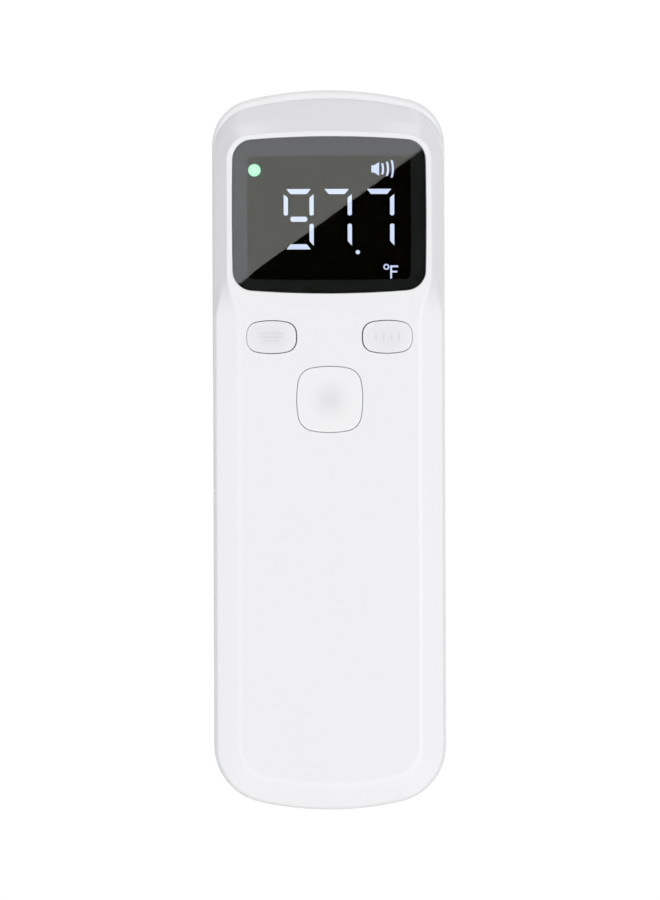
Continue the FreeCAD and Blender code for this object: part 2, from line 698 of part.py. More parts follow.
def make_back_shell(hollow):
    """Rear shell: nozzle bore, screw bosses, sensor posts and sound holes."""
    upper = cut("rear_upper", hollow, [slab("below_shell", "-10", "Dims.cover_top + Dims.seam")])
    boss_y = "(Dims.grip_y - Dims.boss_deep)"
    head_seat_y = "Dims.grip_y - Dims.wall - Dims.head_seat"
    inner_y = "Dims.head_y - Dims.wall"
    bosses = [
        rod(f"case_boss_{i}", "Dims.boss_radius", "Dims.boss_deep - Dims.wall + 0.2", (across, boss_y, up))
        for i, (across, up) in enumerate(CASE_SCREWS)
    ]
    posts = [
        rod(f"sensor_post_{i}", "Dims.post_radius + 0.2", f"{inner_y} + 0.4 - Dims.sensor_board_y",
            (across, "Dims.sensor_board_y", up))
        for i, (across, up) in enumerate(SENSOR_SCREWS)
    ]
    nozzle_start = ("0", f"{inner_y} - 2", "Dims.nozzle_z")
    holes = [rod("nozzle_bore", "Dims.nozzle_spigot", "Dims.wall + 4", nozzle_start)]
    bore, counterbore = "Dims.screw_radius + Dims.screw_play", "Dims.head_radius + Dims.head_play"
    for i, (across, up) in enumerate(CASE_SCREWS):
        holes.append(rod(f"case_bore_{i}", bore, "8", (across, f"{boss_y} - 1", up)))
        holes.append(rod(f"counterbore_{i}", counterbore, "4", (across, head_seat_y, up)))
    for i, (across, up) in enumerate(SENSOR_SCREWS):
        holes.append(rod(f"sensor_pilot_{i}", "Dims.pilot_radius", "8", (across, "Dims.sensor_board_y", up)))
    for i in range(-2, 3):
        corner = (f"{i} * Dims.sound_pitch", "Dims.grip_y - 4", "Dims.bend_low - 4")
        holes.append(rod(f"sound_hole_{i + 3}", "Dims.sound_radius", "6", corner))
    whole = join("rear_upper_with_bosses", [upper] + bosses + posts)
    return node(cut("back_shell", whole, holes), "back_shell")


def make_battery_cover(hollow):
    """Sliding cover with its side tongues, the lips under the rear shell and grip grooves."""
    parts = [keep("cover_wall", hollow, slab("cover_zone", "-10", "Dims.cover_top"))]
    wall_x = "Dims.case_half - Dims.wall + 0.2"
    for name, low_x in (("left", f"-({wall_x})"), ("right", "Dims.tongue_x")):
        extent = (f"{wall_x} - Dims.tongue_x", "Dims.tongue_thick", "Dims.rail_long")
        parts.append(block(f"tongue_{name}", extent, (low_x, "Dims.part_y + 0.4", "Dims.rail_low")))
    lip_y, lip_z = "Dims.grip_y - Dims.wall - 1", "Dims.cover_top - Dims.lip_root"
    for name, low_x in (("left", "-Dims.lip_x - Dims.lip_width"), ("right", "Dims.lip_x")):
        root = ("Dims.lip_width", "Dims.seam + 1", "Dims.lip_root - 1")
        tip = ("Dims.lip_width", "1 - Dims.seam", "Dims.lip_long")
        parts.append(block(f"lip_root_{name}", root, (low_x, lip_y, lip_z)))
        parts.append(block(f"lip_{name}", tip, (low_x, lip_y, lip_z)))
    grooves = []
    for i in range(5):
        up = f"Dims.cover_top - Dims.groove_drop - {i} * Dims.groove_pitch"
        corner = ("-Dims.groove_long / 2", "Dims.grip_y - Dims.groove_deep", up)
        grooves.append(block(f"grip_groove_{i}", ("Dims.groove_long", "2", "Dims.groove_high"), corner))
    whole = join("cover_with_tongues", parts)
    return node(cut("battery_cover", whole, grooves), "battery_cover")


# ---------------------------------------------------------------- display

WINDOW_BACK = "(Dims.front_y + Dims.window_thick)"
MASK_BACK = f"({WINDOW_BACK} + Dims.mask_thick)"
HOUSING_Y = f"({MASK_BACK} + 0.3)"


def view_cushion(body, name, level, grow):
    """The clear display area's outline, grown all round."""
    return cushion(
        body, name, level, ("0", "Dims.view_z"),
        (f"Dims.view_width + 2 * ({grow})", f"Dims.view_height + 2 * ({grow})"),
        ("Dims.window_bow * 4", "Dims.window_side * 2", "Dims.view_corner"),
    )


def make_window():
    """Clear window, its printed border film and the adhesive gasket."""
    window = new_body("window_body")
    pad_back(window, window_cushion(window, "window_face", "-Dims.front_y", "0"), "Dims.window_thick")
    node(window, "display_window")
    mask = new_body("mask_body")
    pad_back(mask, window_cushion(mask, "mask_outer", f"-{WINDOW_BACK}", "-0.1"), "Dims.mask_thick")
    pocket_back(mask, view_cushion(mask, "mask_opening", f"-{WINDOW_BACK}", "0"), "Dims.mask_thick + 1")
    node(mask, "window_mask")
    gasket = new_body("gasket_body")
    pad_back(gasket, window_cushion(gasket, "gasket_outer", f"-{MASK_BACK}", "-0.2"), "Dims.gasket_thick")
    inner = window_cushion(gasket, "gasket_inner", f"-{MASK_BACK}", "0.2 - Dims.ledge")
    pocket_back(gasket, inner, "Dims.gasket_thick + 1")
    node(gasket, "window_gasket")


def mirrored(corners, across=False, up=False):
    """Corners of a segment, turned over left to right, upside down or both."""
    flipped = []
    for u, v in corners:
        new_u = f"Dims.digit_width - ({u})" if across else u
        new_v = f"Dims.digit_height - ({v})" if up else v
        flipped.append((new_u, new_v))
    return flipped


def segment_shapes():
    """Corners of the seven segments, from a numeral's lower left corner, by letter."""
    thick, slim = "Dims.bar_thick", "Dims.bar_slim"
    half = "Dims.digit_height / 2"
    bar = [
        ("0.55", "Dims.digit_height"), ("Dims.digit_width - 0.6", "Dims.digit_height"),
        ("Dims.digit_width - 1.45", f"Dims.digit_height - {thick}"), ("1.4", f"Dims.digit_height - {thick}"),
    ]
    post = [
        ("0", f"Dims.digit_height - {thick}"), ("0", f"{half} + 0.95"), (f"{slim} / 2", f"{half} + 0.7"),
        (slim, f"{half} + 0.95"), (slim, f"Dims.digit_height - {thick} - 0.75"),
    ]
    low_post = [
        ("0", f"{thick} - 0.3"), ("0", f"{half} - 1.15"), (f"{slim} / 2", f"{half} - 0.9"),
        (slim, f"{half} - 1.15"), (slim, f"{thick} + 0.65"),
    ]
    middle = [
        ("1.3", half), ("1.65", f"{half} + {thick} / 2"), ("Dims.digit_width - 1.6", f"{half} + {thick} / 2"),
        ("Dims.digit_width - 1.25", half), ("Dims.digit_width - 1.6", f"{half} - {thick} / 2"),
        ("1.65", f"{half} - {thick} / 2"),
    ]
    return {
        "a": bar, "b": mirrored(post, across=True), "c": mirrored(low_post, across=True),
        "d": mirrored(bar, up=True), "e": low_post, "f": post, "g": middle,
    }


def segments_at(right, letters):
    """Corner loops of the lettered segments of a numeral whose right edge is given."""
    shapes = segment_shapes()
    left, base = f"{right} - Dims.digit_width", "Dims.digit_z - Dims.digit_height / 2"
    return [[(f"{left} + ({u})", f"{base} + ({v})") for u, v in shapes[letter]] for letter in letters]


def make_segments():
    """Lit and unlit segments of three numerals and a leading one."""
    deep = "Dims.segment_deep"
    middle = "Dims.digit_right"
    left = f"{middle} - Dims.digit_pitch"
    right = f"{middle} + Dims.digit_pitch + Dims.point_space"
    lit = new_body("lit_body")
    numerals = segments_at(left, "abcdfg") + segments_at(middle, "abc") + segments_at(right, "abc")
    pad_back(lit, polygons(lit, "lit_numerals", "XZ_Plane", f"-{HOUSING_Y}", numerals), deep)
    point = [(f"{middle} + 1.2", "Dims.digit_z - Dims.digit_height / 2 - 0.6")]
    pad_back(lit, discs(lit, "decimal_point", f"-{HOUSING_Y}", point, "Dims.bar_slim / 2"), deep)
    unlit = new_body("unlit_body")
    dark = segments_at(left, "e") + segments_at(middle, "defg") + segments_at(right, "defg")
    dark += segments_at(f"{left} - Dims.digit_pitch", "bc")
    pad_back(unlit, polygons(unlit, "unlit_numerals", "XZ_Plane", f"-{HOUSING_Y}", dark), deep)
    return [node(lit, "lit_segments"), node(unlit, "unlit_segments")]


def arc_band(name, middle, radius, sweep):
    """A curved bar of the loudspeaker sign: part of a ring about the speaker's throat."""
    half_thick = 0.21
    across, y, up = middle
    outer = rod(f"{name}_outer", f"{radius} + {half_thick}", "Dims.segment_deep", middle)
    inner = rod(f"{name}_inner", f"{radius} - {half_thick}", "Dims.segment_deep", middle)
    extent = (f"{radius} + 1", "Dims.segment_deep", f"2 * {sweep}")
    window = block(f"{name}_window", extent, (across, y, f"{up} - {sweep}"))
    return keep(name, cut(f"{name}_ring", outer, [inner]), window)


def make_icons():
    """Status lamp, loudspeaker sign and the sign for degrees Fahrenheit."""
    deep = "Dims.segment_deep"
    lamp_middle = ("Dims.lamp_x", HOUSING_Y, "Dims.lamp_z")
    lamp = node(rod("status_lamp", "Dims.lamp_radius", deep, lamp_middle), "status_lamp")
    horn = new_body("horn_body")
    corners = (("-2.65", "-0.75"), ("-2.05", "-0.75"), ("-1.05", "-1.4"),
               ("-1.05", "1.4"), ("-2.05", "0.75"), ("-2.65", "0.75"))
    at_sign = [(f"Dims.sound_x + {across}", f"Dims.sound_z + {up}") for across, up in corners]
    pad_back(horn, polygon(horn, "horn", "XZ_Plane", f"-{HOUSING_Y}", at_sign), deep)
    throat = ("Dims.sound_x - 4", HOUSING_Y, "Dims.sound_z")
    waves = [arc_band(f"wave_{i}", throat, f"{3.77 + 1.02 * i}", f"{1.15 + 0.32 * i}") for i in range(3)]
    sound = node(group("sound_sign", [horn] + waves), "sound_sign")
    ring_middle = ("Dims.unit_x", HOUSING_Y, "Dims.unit_z + 1.05")
    ring_hole = rod("degree_inner", "0.34", deep, ring_middle)
    ring = cut("degree_ring", rod("degree_outer", "0.62", deep, ring_middle), [ring_hole])
    letter_x, stroke = "Dims.unit_x + 0.8", "0.38"
    strokes = [block("letter_stem", (stroke, deep, "2.7"), (letter_x, HOUSING_Y, "Dims.unit_z - 1.35"))]
    for name, long, up in (("upper", "1.65", "0.97"), ("middle", "1.45", "-0.12")):
        corner = (letter_x, HOUSING_Y, f"Dims.unit_z + {up}")
        strokes.append(block(f"letter_{name}", (long, deep, stroke), corner))
    unit = node(group("unit_sign", [ring, join("letter", strokes)]), "unit_sign")
    return [lamp, sound, unit]


def make_display_housing(lights):
    """Black light housing of the display, with a well for each light."""
    body = new_body("housing_body")
    face = window_cushion(body, "housing_face", f"-{HOUSING_Y}", "-Dims.ledge - 0.25")
    pad_back(body, face, f"Dims.board_y - {HOUSING_Y}")
    return node(cut("display_housing", body, [group("light_wells", lights)]), "display_housing")


def make_display_pins():
    """Two rows of solder pins from the display through the main board."""
    pins = []
    for row, sign in enumerate("-+"):
        for i in range(6):
            start = (f"({i} - 2.5) * Dims.pin_pitch", "Dims.board_y", f"Dims.window_z {sign} Dims.pin_rows")
            pins.append(rod(f"pin_{row}_{i}", "Dims.pin_radius", "Dims.board_thick + 1", start))
    return node(group("display_pins", pins), "display_pins")


# ---------------------------------------------------------------- buttons and switches

def make_button(label, cap_outline, middle_x, middle_z, hollow):
    """A button cap with its retaining flange and stem."""
    body = new_body(f"{label}_body")
    flange_y = "(Dims.front_y + Dims.front_wall + Dims.key_gap)"
    pad_back(body, cap_outline(body, f"{label}_cap", "-Dims.front_y", "0"), "Dims.front_wall + Dims.key_gap")
    flange = cap_outline(body, f"{label}_flange", f"-{flange_y}", "Dims.key_flange")
    pad_back(body, flange, "Dims.flange_thick")
    stem_start = f"({flange_y} + Dims.flange_thick)"
    stem_end = "(Dims.board_y - Dims.switch_tall - Dims.plunger_out)"
    stem = discs(body, f"{label}_stem", f"-{stem_start}", [(middle_x, middle_z)], "Dims.plunger_radius + 0.3")
    pad_back(body, stem, f"{stem_end} - {stem_start}")
    if not hollow:
        return node(body, label)
    dish = doc.addObject("Part::Sphere", f"{label}_dish")
    dish.setExpression("Radius", "Dims.dish_radius")
    place(dish, (middle_x, "Dims.front_y + Dims.dish_deep - Dims.dish_radius", middle_z))
    return node(cut(f"{label}_dished", body, [dish]), label)


def make_buttons():
    """The large button and the two small ones."""
    def left_outline(body, name, level, grow):
        return key_cushion(body, name, level, "-Dims.key_x", grow)

    def right_outline(body, name, level, grow):
        return key_cushion(body, name, level, "Dims.key_x", grow)

    make_button("scan_button", scan_cushion, "0", "Dims.scan_z", True)
    make_button("left_button", left_outline, "-Dims.key_x", "Dims.key_z", False)
    make_button("right_button", right_outline, "Dims.key_x", "Dims.key_z", False)


def make_switch(name, middle_x, middle_z):
    """A board switch: square body with a bored guide, and its round plunger."""
    top_y, half = "(Dims.board_y - Dims.switch_tall)", "Dims.switch_side / 2"
    case = block(f"{name}_case", ("Dims.switch_side", "Dims.switch_tall", "Dims.switch_side"),
                 (f"({middle_x}) - {half}", top_y, f"({middle_z}) - {half}"))
    guide = rod(f"{name}_guide", "Dims.plunger_radius + Dims.plunger_play", "Dims.switch_tall - 0.3",
                (middle_x, top_y, middle_z))
    node(cut(f"{name}_switch", case, [guide]), f"{name}_switch")
    plunger = rod(f"{name}_plunger", "Dims.plunger_radius", "Dims.plunger_out + 0.7",
                  (middle_x, f"{top_y} - Dims.plunger_out", middle_z))
    node(plunger, f"{name}_plunger")


# ---------------------------------------------------------------- electronics

BOARD_BACK = "(Dims.board_y + Dims.board_thick)"


def make_main_board(pins):
    """Main circuit board with its screw and pin holes."""
    extent = ("2 * Dims.board_half", "Dims.board_thick", "Dims.board_high - Dims.board_low")
    plate = block("board_plate", extent, ("-Dims.board_half", "Dims.board_y", "Dims.board_low"))
    hole = "Dims.screw_radius + Dims.screw_play"
    holes = [
        rod(f"board_hole_{i}", hole, "Dims.board_thick", (across, "Dims.board_y", up))
        for i, (across, up) in enumerate(BOARD_SCREWS)
    ]
    return node(cut("main_board", plate, holes + [pins]), "main_board")


def make_board_parts():
    """Controller, timing crystal, small parts and sounder on the back of the main board."""
    blocks = (
        ("controller_chip", ("Dims.chip_side", "Dims.chip_thick", "Dims.chip_side"), ("4", "86")),
        ("crystal", ("Dims.crystal_wide", "Dims.crystal_tall", "Dims.crystal_long"), ("-3", "92")),
        ("ribbon_socket", ("Dims.socket_wide", "Dims.socket_tall", "Dims.socket_high"),
         ("-Dims.socket_wide / 2", "Dims.ribbon_z - Dims.socket_high / 2")),
    )
    for label, extent, (across, up) in blocks:
        node(block(label, extent, (across, BOARD_BACK, up)), label)
    small = []
    for column in range(5):
        for row in range(2):
            corner = (f"-12 + {column} * 2.2", BOARD_BACK, f"100 + {row} * 3")
            small.append(block(f"chip_part_{column}_{row}", ("0.8", "0.6", "1.6"), corner))
    node(group("chip_parts", small), "chip_parts")
    node(rod("sounder", "Dims.sounder_radius", "Dims.sounder_tall", ("-9.5", BOARD_BACK, "84.5")), "sounder")


def screw(name, middle, head_y, length, tip_sign):
    """A pan-head screw along Y: tip_sign says which way its thread points."""
    across, up = middle
    head_start, shank_start = head_y, f"{head_y} - {length}"
    if tip_sign > 0:
        head_start, shank_start = f"{head_y} - Dims.head_thick", f"{head_y} - 0.2"
    head = rod(f"{name}_head", "Dims.head_radius", "Dims.head_thick", (across, head_start, up))
    shank = rod(f"{name}_shank", "Dims.screw_radius", f"{length} + 0.2", (across, shank_start, up))
    face_y = f"{head_y} + Dims.head_thick - Dims.recess_deep"
    if tip_sign > 0:
        face_y = f"{head_y} - Dims.head_thick - Dims.recess_deep"
    arms = (("Dims.recess_long", "Dims.recess_wide"), ("Dims.recess_wide", "Dims.recess_long"))
    slots = [
        block(f"{name}_slot_{i}", (wide, "2 * Dims.recess_deep", tall),
              (f"{across} - {wide} / 2", face_y, f"{up} - {tall} / 2"))
        for i, (wide, tall) in enumerate(arms)
    ]
    return cut(name, join(f"{name}_blank", [head, shank]), slots)


def make_screws():
    """Each set of equal screws is one node."""
    sets = (
        ("board_screws", BOARD_SCREWS, BOARD_BACK, "4.2", -1),
        ("case_screws", CASE_SCREWS, "(Dims.grip_y - Dims.wall - Dims.head_seat)", "9", -1),
        ("tray_screws", TRAY_SCREWS, "(Dims.tray_y + Dims.tray_wall)", "5", -1),
        ("sensor_screws", SENSOR_SCREWS, "(Dims.sensor_board_y - Dims.sensor_board_thick)", "6", 1),
    )
    for label, middles, head_y, length, tip_sign in sets:
        screws = [screw(f"{label}_{i}", middle, head_y, length, tip_sign) for i, middle in enumerate(middles)]
        node(group(label, screws), label)


# ---------------------------------------------------------------- sensor

def turned(name, corners):
    """A turned piece about the sensor axis: corners are place along Y and radius."""
    body = new_body(name)
    sketch = polygon(body, f"{name}_section", "YZ_Plane", "0", corners)
    item = body.newObject("PartDesign::Revolution", f"{name}_turned")
    item.Profile = sketch
    item.ReferenceAxis = (sketch, ["H_Axis"])
    item.Angle = 360
    body.setExpression("Placement.Base.z", "Dims.nozzle_z")
    return body


def make_nozzle():
    """Ring round the sensor: a spigot in the rear shell, a rounded rim and a long inner cone."""
    outer, spigot = "Dims.nozzle_radius", "Dims.nozzle_spigot - 0.05"
    return node(turned("nozzle_body", [
        ("Dims.head_y", outer), ("Dims.rim_y - 1.2", outer), ("Dims.rim_y", f"{outer} - 0.8"),
        ("Dims.rim_y", f"{outer} - 2.2"), ("Dims.rim_y - 0.8", f"{outer} - 3"),
        ("Dims.throat_y + 1.5", "Dims.throat_radius"), ("Dims.throat_y", "Dims.throat_radius"),
        ("Dims.throat_y", "Dims.throat_radius + 1.6"), ("Dims.throat_y + 2", "Dims.throat_radius + 1.6"),
        ("Dims.head_y - Dims.wall", spigot), ("Dims.head_y", spigot),
    ]), "sensor_nozzle")


def make_sensor_can():
    """Brass sleeve, and the sensor can with its window and four leads."""
    back = "Dims.sensor_board_y"
    foot, end = f"{back} + 1.2", f"{back} + Dims.sleeve_long"
    foot_radius = "Dims.sleeve_radius + Dims.sleeve_foot"
    node(turned("sleeve_body", [
        (back, "Dims.sleeve_bore"), (end, "Dims.sleeve_bore"), (end, "Dims.sleeve_radius"),
        (foot, "Dims.sleeve_radius"), (foot, foot_radius), (back, foot_radius),
    ]), "sensor_sleeve")
    base, tip = f"{back} + Dims.can_base", f"{back} + Dims.can_end"
    brim = f"{base} + Dims.can_brim"
    node(turned("can_body", [
        (base, "0"), (tip, "0"), (tip, "Dims.can_radius"), (brim, "Dims.can_radius"),
        (brim, "Dims.can_radius + 0.4"), (base, "Dims.can_radius + 0.4"),
    ]), "thermopile_can")
    node(rod("can_window", "Dims.can_view", "0.15", ("0", tip, "Dims.nozzle_z")), "thermopile_window")
    leads = [
        rod(f"can_lead_{i}", "Dims.can_lead", "Dims.can_base + 2.4",
            (f"{across} * Dims.can_pitch", f"{back} - 2.4", f"Dims.nozzle_z + {up} * Dims.can_pitch"))
        for i, (across, up) in enumerate(((1, 0), (0, 1), (-1, 0), (0, -1)))
    ]
    return node(group("can_leads", leads), "thermopile_leads")


def make_sensor_board(leads):
    """Small board that carries the sensor, with its screw and lead holes."""
    thick, margin = "Dims.sensor_board_thick", "3"
    front_y = f"Dims.sensor_board_y - {thick}"
    extent = (f"2 * Dims.sensor_post_x + 2 * {margin}", thick, "Dims.sensor_board_high")
    corner = (f"-Dims.sensor_post_x - {margin}", front_y, "Dims.nozzle_z - Dims.sensor_board_high / 2")
    holes = [
        rod(f"sensor_hole_{i}", "Dims.screw_radius + Dims.screw_play", thick, (across, front_y, up))
        for i, (across, up) in enumerate(SENSOR_SCREWS)
    ]
    plate = block("sensor_plate", extent, corner)
    return node(cut("sensor_plate_drilled", plate, holes + [leads]), "sensor_board")


def make_ribbon():
    """Flat cable from the sensor board forward and down to its socket on the main board."""
    body = new_body("ribbon_body")
    start = "Dims.sensor_board_y - Dims.sensor_board_thick"
    upper, lower = "Dims.nozzle_z - 6", "Dims.ribbon_z"
    socket_y = f"{BOARD_BACK} + Dims.socket_tall"
    corners = [
        (start, upper), (f"{start} - 1.6", upper), (f"{start} - 5.6", lower), (socket_y, lower),
        (socket_y, f"{lower} - Dims.ribbon_thick"), (f"{start} - 5.7", f"{lower} - Dims.ribbon_thick"),
        (f"{start} - 1.7", f"{upper} - Dims.ribbon_thick"), (start, f"{upper} - Dims.ribbon_thick"),
    ]
    item = feature("Pad", body, polygon(body, "ribbon_section", "YZ_Plane", "0", corners), "Dims.ribbon_wide")
    item.Midplane = True
    return node(body, "sensor_ribbon")


# ---------------------------------------------------------------- power

BAY_HIGH = "(Dims.bay_low + 2 * Dims.plate + Dims.spring_long + Dims.cell_body + Dims.cell_cap)"


def make_contacts():
    """Bridge plate at the lower end and two tabbed plates at the upper end of the cell bay."""
    low_y = "(Dims.tray_y + Dims.tray_wall + 0.5)"
    outer, deep, gap = "Dims.contact_half", "Dims.contact_deep", "0.8"
    bridge = block("bridge", (f"2 * {outer}", deep, "Dims.plate"), (f"-{outer}", low_y, "Dims.bay_low"))
    node(bridge, "bridge_contact")
    plate_z = f"{BAY_HIGH} - Dims.plate"
    tabs = []
    for label, low_x, tab_x in (("positive_contact", f"-{outer}", "-Dims.cell_x"),
                                ("negative_contact", gap, "Dims.cell_x")):
        plate = block(f"{label}_plate", (f"{outer} - {gap}", deep, "Dims.plate"), (low_x, low_y, plate_z))
        tab = block(f"{label}_tab", ("Dims.tab_wide", "Dims.plate", "Dims.tab_high"),
                    (f"{tab_x} - Dims.tab_wide / 2", "Dims.tab_y", plate_z))
        node(join(f"{label}_whole", [plate, tab]), label)
        tabs.append(tab)
    return tabs


def make_tray(tabs):
    """Open tray that holds the two cells, with screw ears and slots for the contact tabs."""
    outer_half = "(Dims.tray_half + Dims.tray_wall)"
    low_z = "(Dims.bay_low - Dims.tray_wall)"
    outer_high = f"{BAY_HIGH} + Dims.tray_wall - {low_z}"
    trough = block(
        "tray_outer", (f"2 * {outer_half}", "Dims.tray_back - Dims.tray_y", outer_high),
        (f"-{outer_half}", "Dims.tray_y", low_z),
    )
    room = block(
        "tray_room", ("2 * Dims.tray_half", "20", f"{BAY_HIGH} - Dims.bay_low"),
        ("-Dims.tray_half", "Dims.tray_y + Dims.tray_wall", "Dims.bay_low"),
    )
    ear_high, ear_reach = 5.0, 2.3
    ears = block(
        "tray_ears", (f"2 * Dims.tray_post_x + 2 * {ear_reach}", "Dims.tray_wall", f"{ear_high}"),
        (f"-Dims.tray_post_x - {ear_reach}", "Dims.tray_y", f"Dims.tray_post_z - {ear_high} / 2"),
    )
    hole = "Dims.screw_radius + Dims.screw_play"
    holes = [
        rod(f"tray_hole_{i}", hole, "Dims.tray_wall", (across, "Dims.tray_y", up))
        for i, (across, up) in enumerate(TRAY_SCREWS)
    ]
    whole = join("tray_with_ears", [trough, ears])
    return node(cut("tray", whole, [room] + holes + tabs), "battery_tray")


def make_cell(label, across, base, cap_up):
    """An AAA cell standing on a height, its cap at the upper or the lower end."""
    up = Vector(0, 0, 1)
    body_low = base if cap_up else f"{base} + Dims.cell_cap"
    cap_low = f"{base} + Dims.cell_body - 1" if cap_up else base
    can = rod(f"{label}_can", "Dims.cell_radius", "Dims.cell_body", (across, "Dims.cell_y", body_low), up)
    cap = rod(f"{label}_cap", "Dims.cap_radius", "Dims.cell_cap + 1", (across, "Dims.cell_y", cap_low), up)
    return node(join(f"{label}_whole", [can, cap]), label)


def make_cell_spring(label, across, base):
    """A coil spring that presses on the flat end of a cell."""
    body = new_body(f"{label}_body")
    sketch = new_sketch(body, f"{label}_section", "XZ_Plane", "0")
    centre = Vector(size("Dims.spring_radius"), 0, 0)
    sketch.addGeometry(Part.Circle(centre, Vector(0, 0, 1), size("Dims.spring_wire")))
    drive(sketch, "Radius", (0,), "Dims.spring_wire")
    pin_point(sketch, 0, 3, "Dims.spring_radius", "0")
    coil = body.newObject("PartDesign::AdditiveHelix", f"{label}_coil")
    coil.Profile = sketch
    coil.ReferenceAxis = (sketch, ["V_Axis"])
    coil.Mode = "height-turns-growth"
    coil.setExpression("Height", "Dims.spring_long - 2 * Dims.spring_wire")
    coil.Turns = 3
    coil.Growth = 0
    place(body, (across, "Dims.cell_y", f"{base} + Dims.spring_wire"))
    return node(body, label)


def make_cells():
    """Two cells, turned opposite ways, each with a spring at its flat end."""
    floor = "Dims.bay_low + Dims.plate"
    make_cell("left_cell", "-Dims.cell_x", f"{floor} + Dims.spring_long", True)
    make_cell("right_cell", "Dims.cell_x", floor, False)
    make_cell_spring("left_spring", "-Dims.cell_x", floor)
    make_cell_spring("right_spring", "Dims.cell_x", f"{BAY_HIGH} - Dims.plate - Dims.spring_long")


def lead_route(across):
    """Corners of a wire's path: up from its contact tab, forward over the tray, down the board."""
    radius, clear = size("Dims.lead_radius"), 0.02
    tab_back = size("Dims.tab_y + Dims.plate")
    tab_top = size(f"{BAY_HIGH} - Dims.plate + Dims.tab_high")
    near, far = tab_back + radius + clear, size(BOARD_BACK) + radius + clear
    heights = ((near, -1), (near, 4), (far, 9), (far, 16))
    return [Vector(across, y, tab_top + rise) for y, rise in heights]


def make_power_lead(label, sign):
    """An insulated wire from a contact tab to the main board, with a round bend at each corner."""
    corners = lead_route(sign * size("Dims.cell_x"))
    bend = size("Dims.lead_bend")
    edges, start = [], corners[0]
    for before, corner, after in zip(corners, corners[1:], corners[2:]):
        inward = (before - corner).normalize()
        onward = (after - corner).normalize()
        enter, leave = corner + inward * bend, corner + onward * bend
        half_turn = inward.getAngle(onward) / 2
        depth = bend / math.cos(half_turn) - bend * math.tan(half_turn)
        middle = corner + (inward + onward).normalize() * depth
        edges += [Part.LineSegment(start, enter).toShape(), Part.Arc(enter, middle, leave).toShape()]
        start = leave
    edges.append(Part.LineSegment(start, corners[-1]).toShape())
    circle = Part.Circle(corners[0], Vector(0, 0, 1), size("Dims.lead_radius"))
    wire = doc.addObject("Part::Feature", label)
    wire.Shape = Part.Wire(edges).makePipeShell([Part.Wire(circle.toShape())], True, False)
    wire.Placement = Placement()
    return node(wire, label)


# ---------------------------------------------------------------- whole

def make_all():
    """Build every sub-part."""
    fill_sheet()
    make_front_shell()
    hollow = make_rear_hollow()
    make_back_shell(hollow)
    make_battery_cover(hollow)
    make_window()
    lights = make_segments() + make_icons()
    make_display_housing(lights)
    pins = make_display_pins()
    make_buttons()
    make_switch("scan", "0", "Dims.scan_z")
    make_switch("left", "-Dims.key_x", "Dims.key_z")
    make_switch("right", "Dims.key_x", "Dims.key_z")
    make_main_board(pins)
    make_board_parts()
    make_screws()
    make_nozzle()
    make_sensor_board(make_sensor_can())
    make_ribbon()
    make_tray(make_contacts())
    make_cells()
    make_power_lead("red_lead", -1)
    make_power_lead("black_lead", 1)
    doc.recompute()


def check_all():
    """Stop on any failed object or bad shape."""
    for item in doc.Objects:
        if "Invalid" in item.State or "Error" in item.State:
            raise RuntimeError(f"{item.Name} failed: {item.getStatusString()}")
    for item in nodes:
        if item.Shape.isNull() or not item.Shape.isValid() or item.Shape.Volume <= 0:
            raise RuntimeError(f"{item.Label} has no valid shape")


def write_all():
    """Write each sub-part to its own file."""
    os.makedirs("parts", exist_ok=True)
    for item in nodes:
        item.Shape.exportStep(f"parts/{item.Label}.step")
        print(f"{item.Label}: {len(item.Shape.Solids)} solids, {item.Shape.Volume:.2f} mm3")


make_all()
check_all()
write_all()
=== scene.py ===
import math

import bmesh
import bpy
from mathutils import Matrix, Vector


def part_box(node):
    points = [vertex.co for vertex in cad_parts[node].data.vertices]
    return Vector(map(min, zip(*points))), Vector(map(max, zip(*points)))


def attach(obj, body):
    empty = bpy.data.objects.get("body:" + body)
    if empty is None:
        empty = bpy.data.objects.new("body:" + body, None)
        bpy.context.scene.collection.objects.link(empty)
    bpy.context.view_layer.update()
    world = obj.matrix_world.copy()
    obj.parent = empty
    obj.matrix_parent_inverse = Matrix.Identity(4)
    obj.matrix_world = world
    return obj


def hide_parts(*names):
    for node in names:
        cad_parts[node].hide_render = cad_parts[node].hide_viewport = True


# The looks of a hand-held digital thermometer. Shapes are worked out in millimetres and stored in
# metres, in the part's own frame: +Z up the case, the display faces -Y.

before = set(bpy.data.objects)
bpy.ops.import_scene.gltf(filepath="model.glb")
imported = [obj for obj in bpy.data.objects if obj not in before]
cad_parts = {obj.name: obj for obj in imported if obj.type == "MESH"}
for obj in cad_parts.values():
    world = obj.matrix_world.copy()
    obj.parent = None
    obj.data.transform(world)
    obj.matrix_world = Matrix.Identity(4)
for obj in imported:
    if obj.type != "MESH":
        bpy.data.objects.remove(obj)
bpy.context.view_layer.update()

MM = 0.001


def node_box(name):
    """Lowest and highest corner of a CAD node, in millimetres."""
    low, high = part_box(name)
    return low / MM, high / MM


def node_middle(name):
    """Centre of a CAD node's box, in millimetres."""
    low, high = node_box(name)
    return (low + high) / 2


FRONT_LOW, FRONT_HIGH = node_box("front_shell")
WINDOW_LOW, WINDOW_HIGH = node_box("display_window")
COVER_HIGH = node_box("battery_cover")[1]
REAR_LOW, REAR_HIGH = node_box("back_shell")
NOZZLE_LOW, NOZZLE_HIGH = node_box("sensor_nozzle")

# The case: half width, top, and depths of the panel, parting plane, head and handle.
CASE_HALF = FRONT_HIGH.x
CASE_TOP = REAR_HIGH.z
FRONT_Y = FRONT_LOW.y
REAR_Y = REAR_LOW.y
PART_Y = REAR_Y - 0.2
HEAD_Y = REAR_HIGH.y
GRIP_Y = COVER_HIGH.y
WALL, FRONT_WALL = 2.0, 2.4

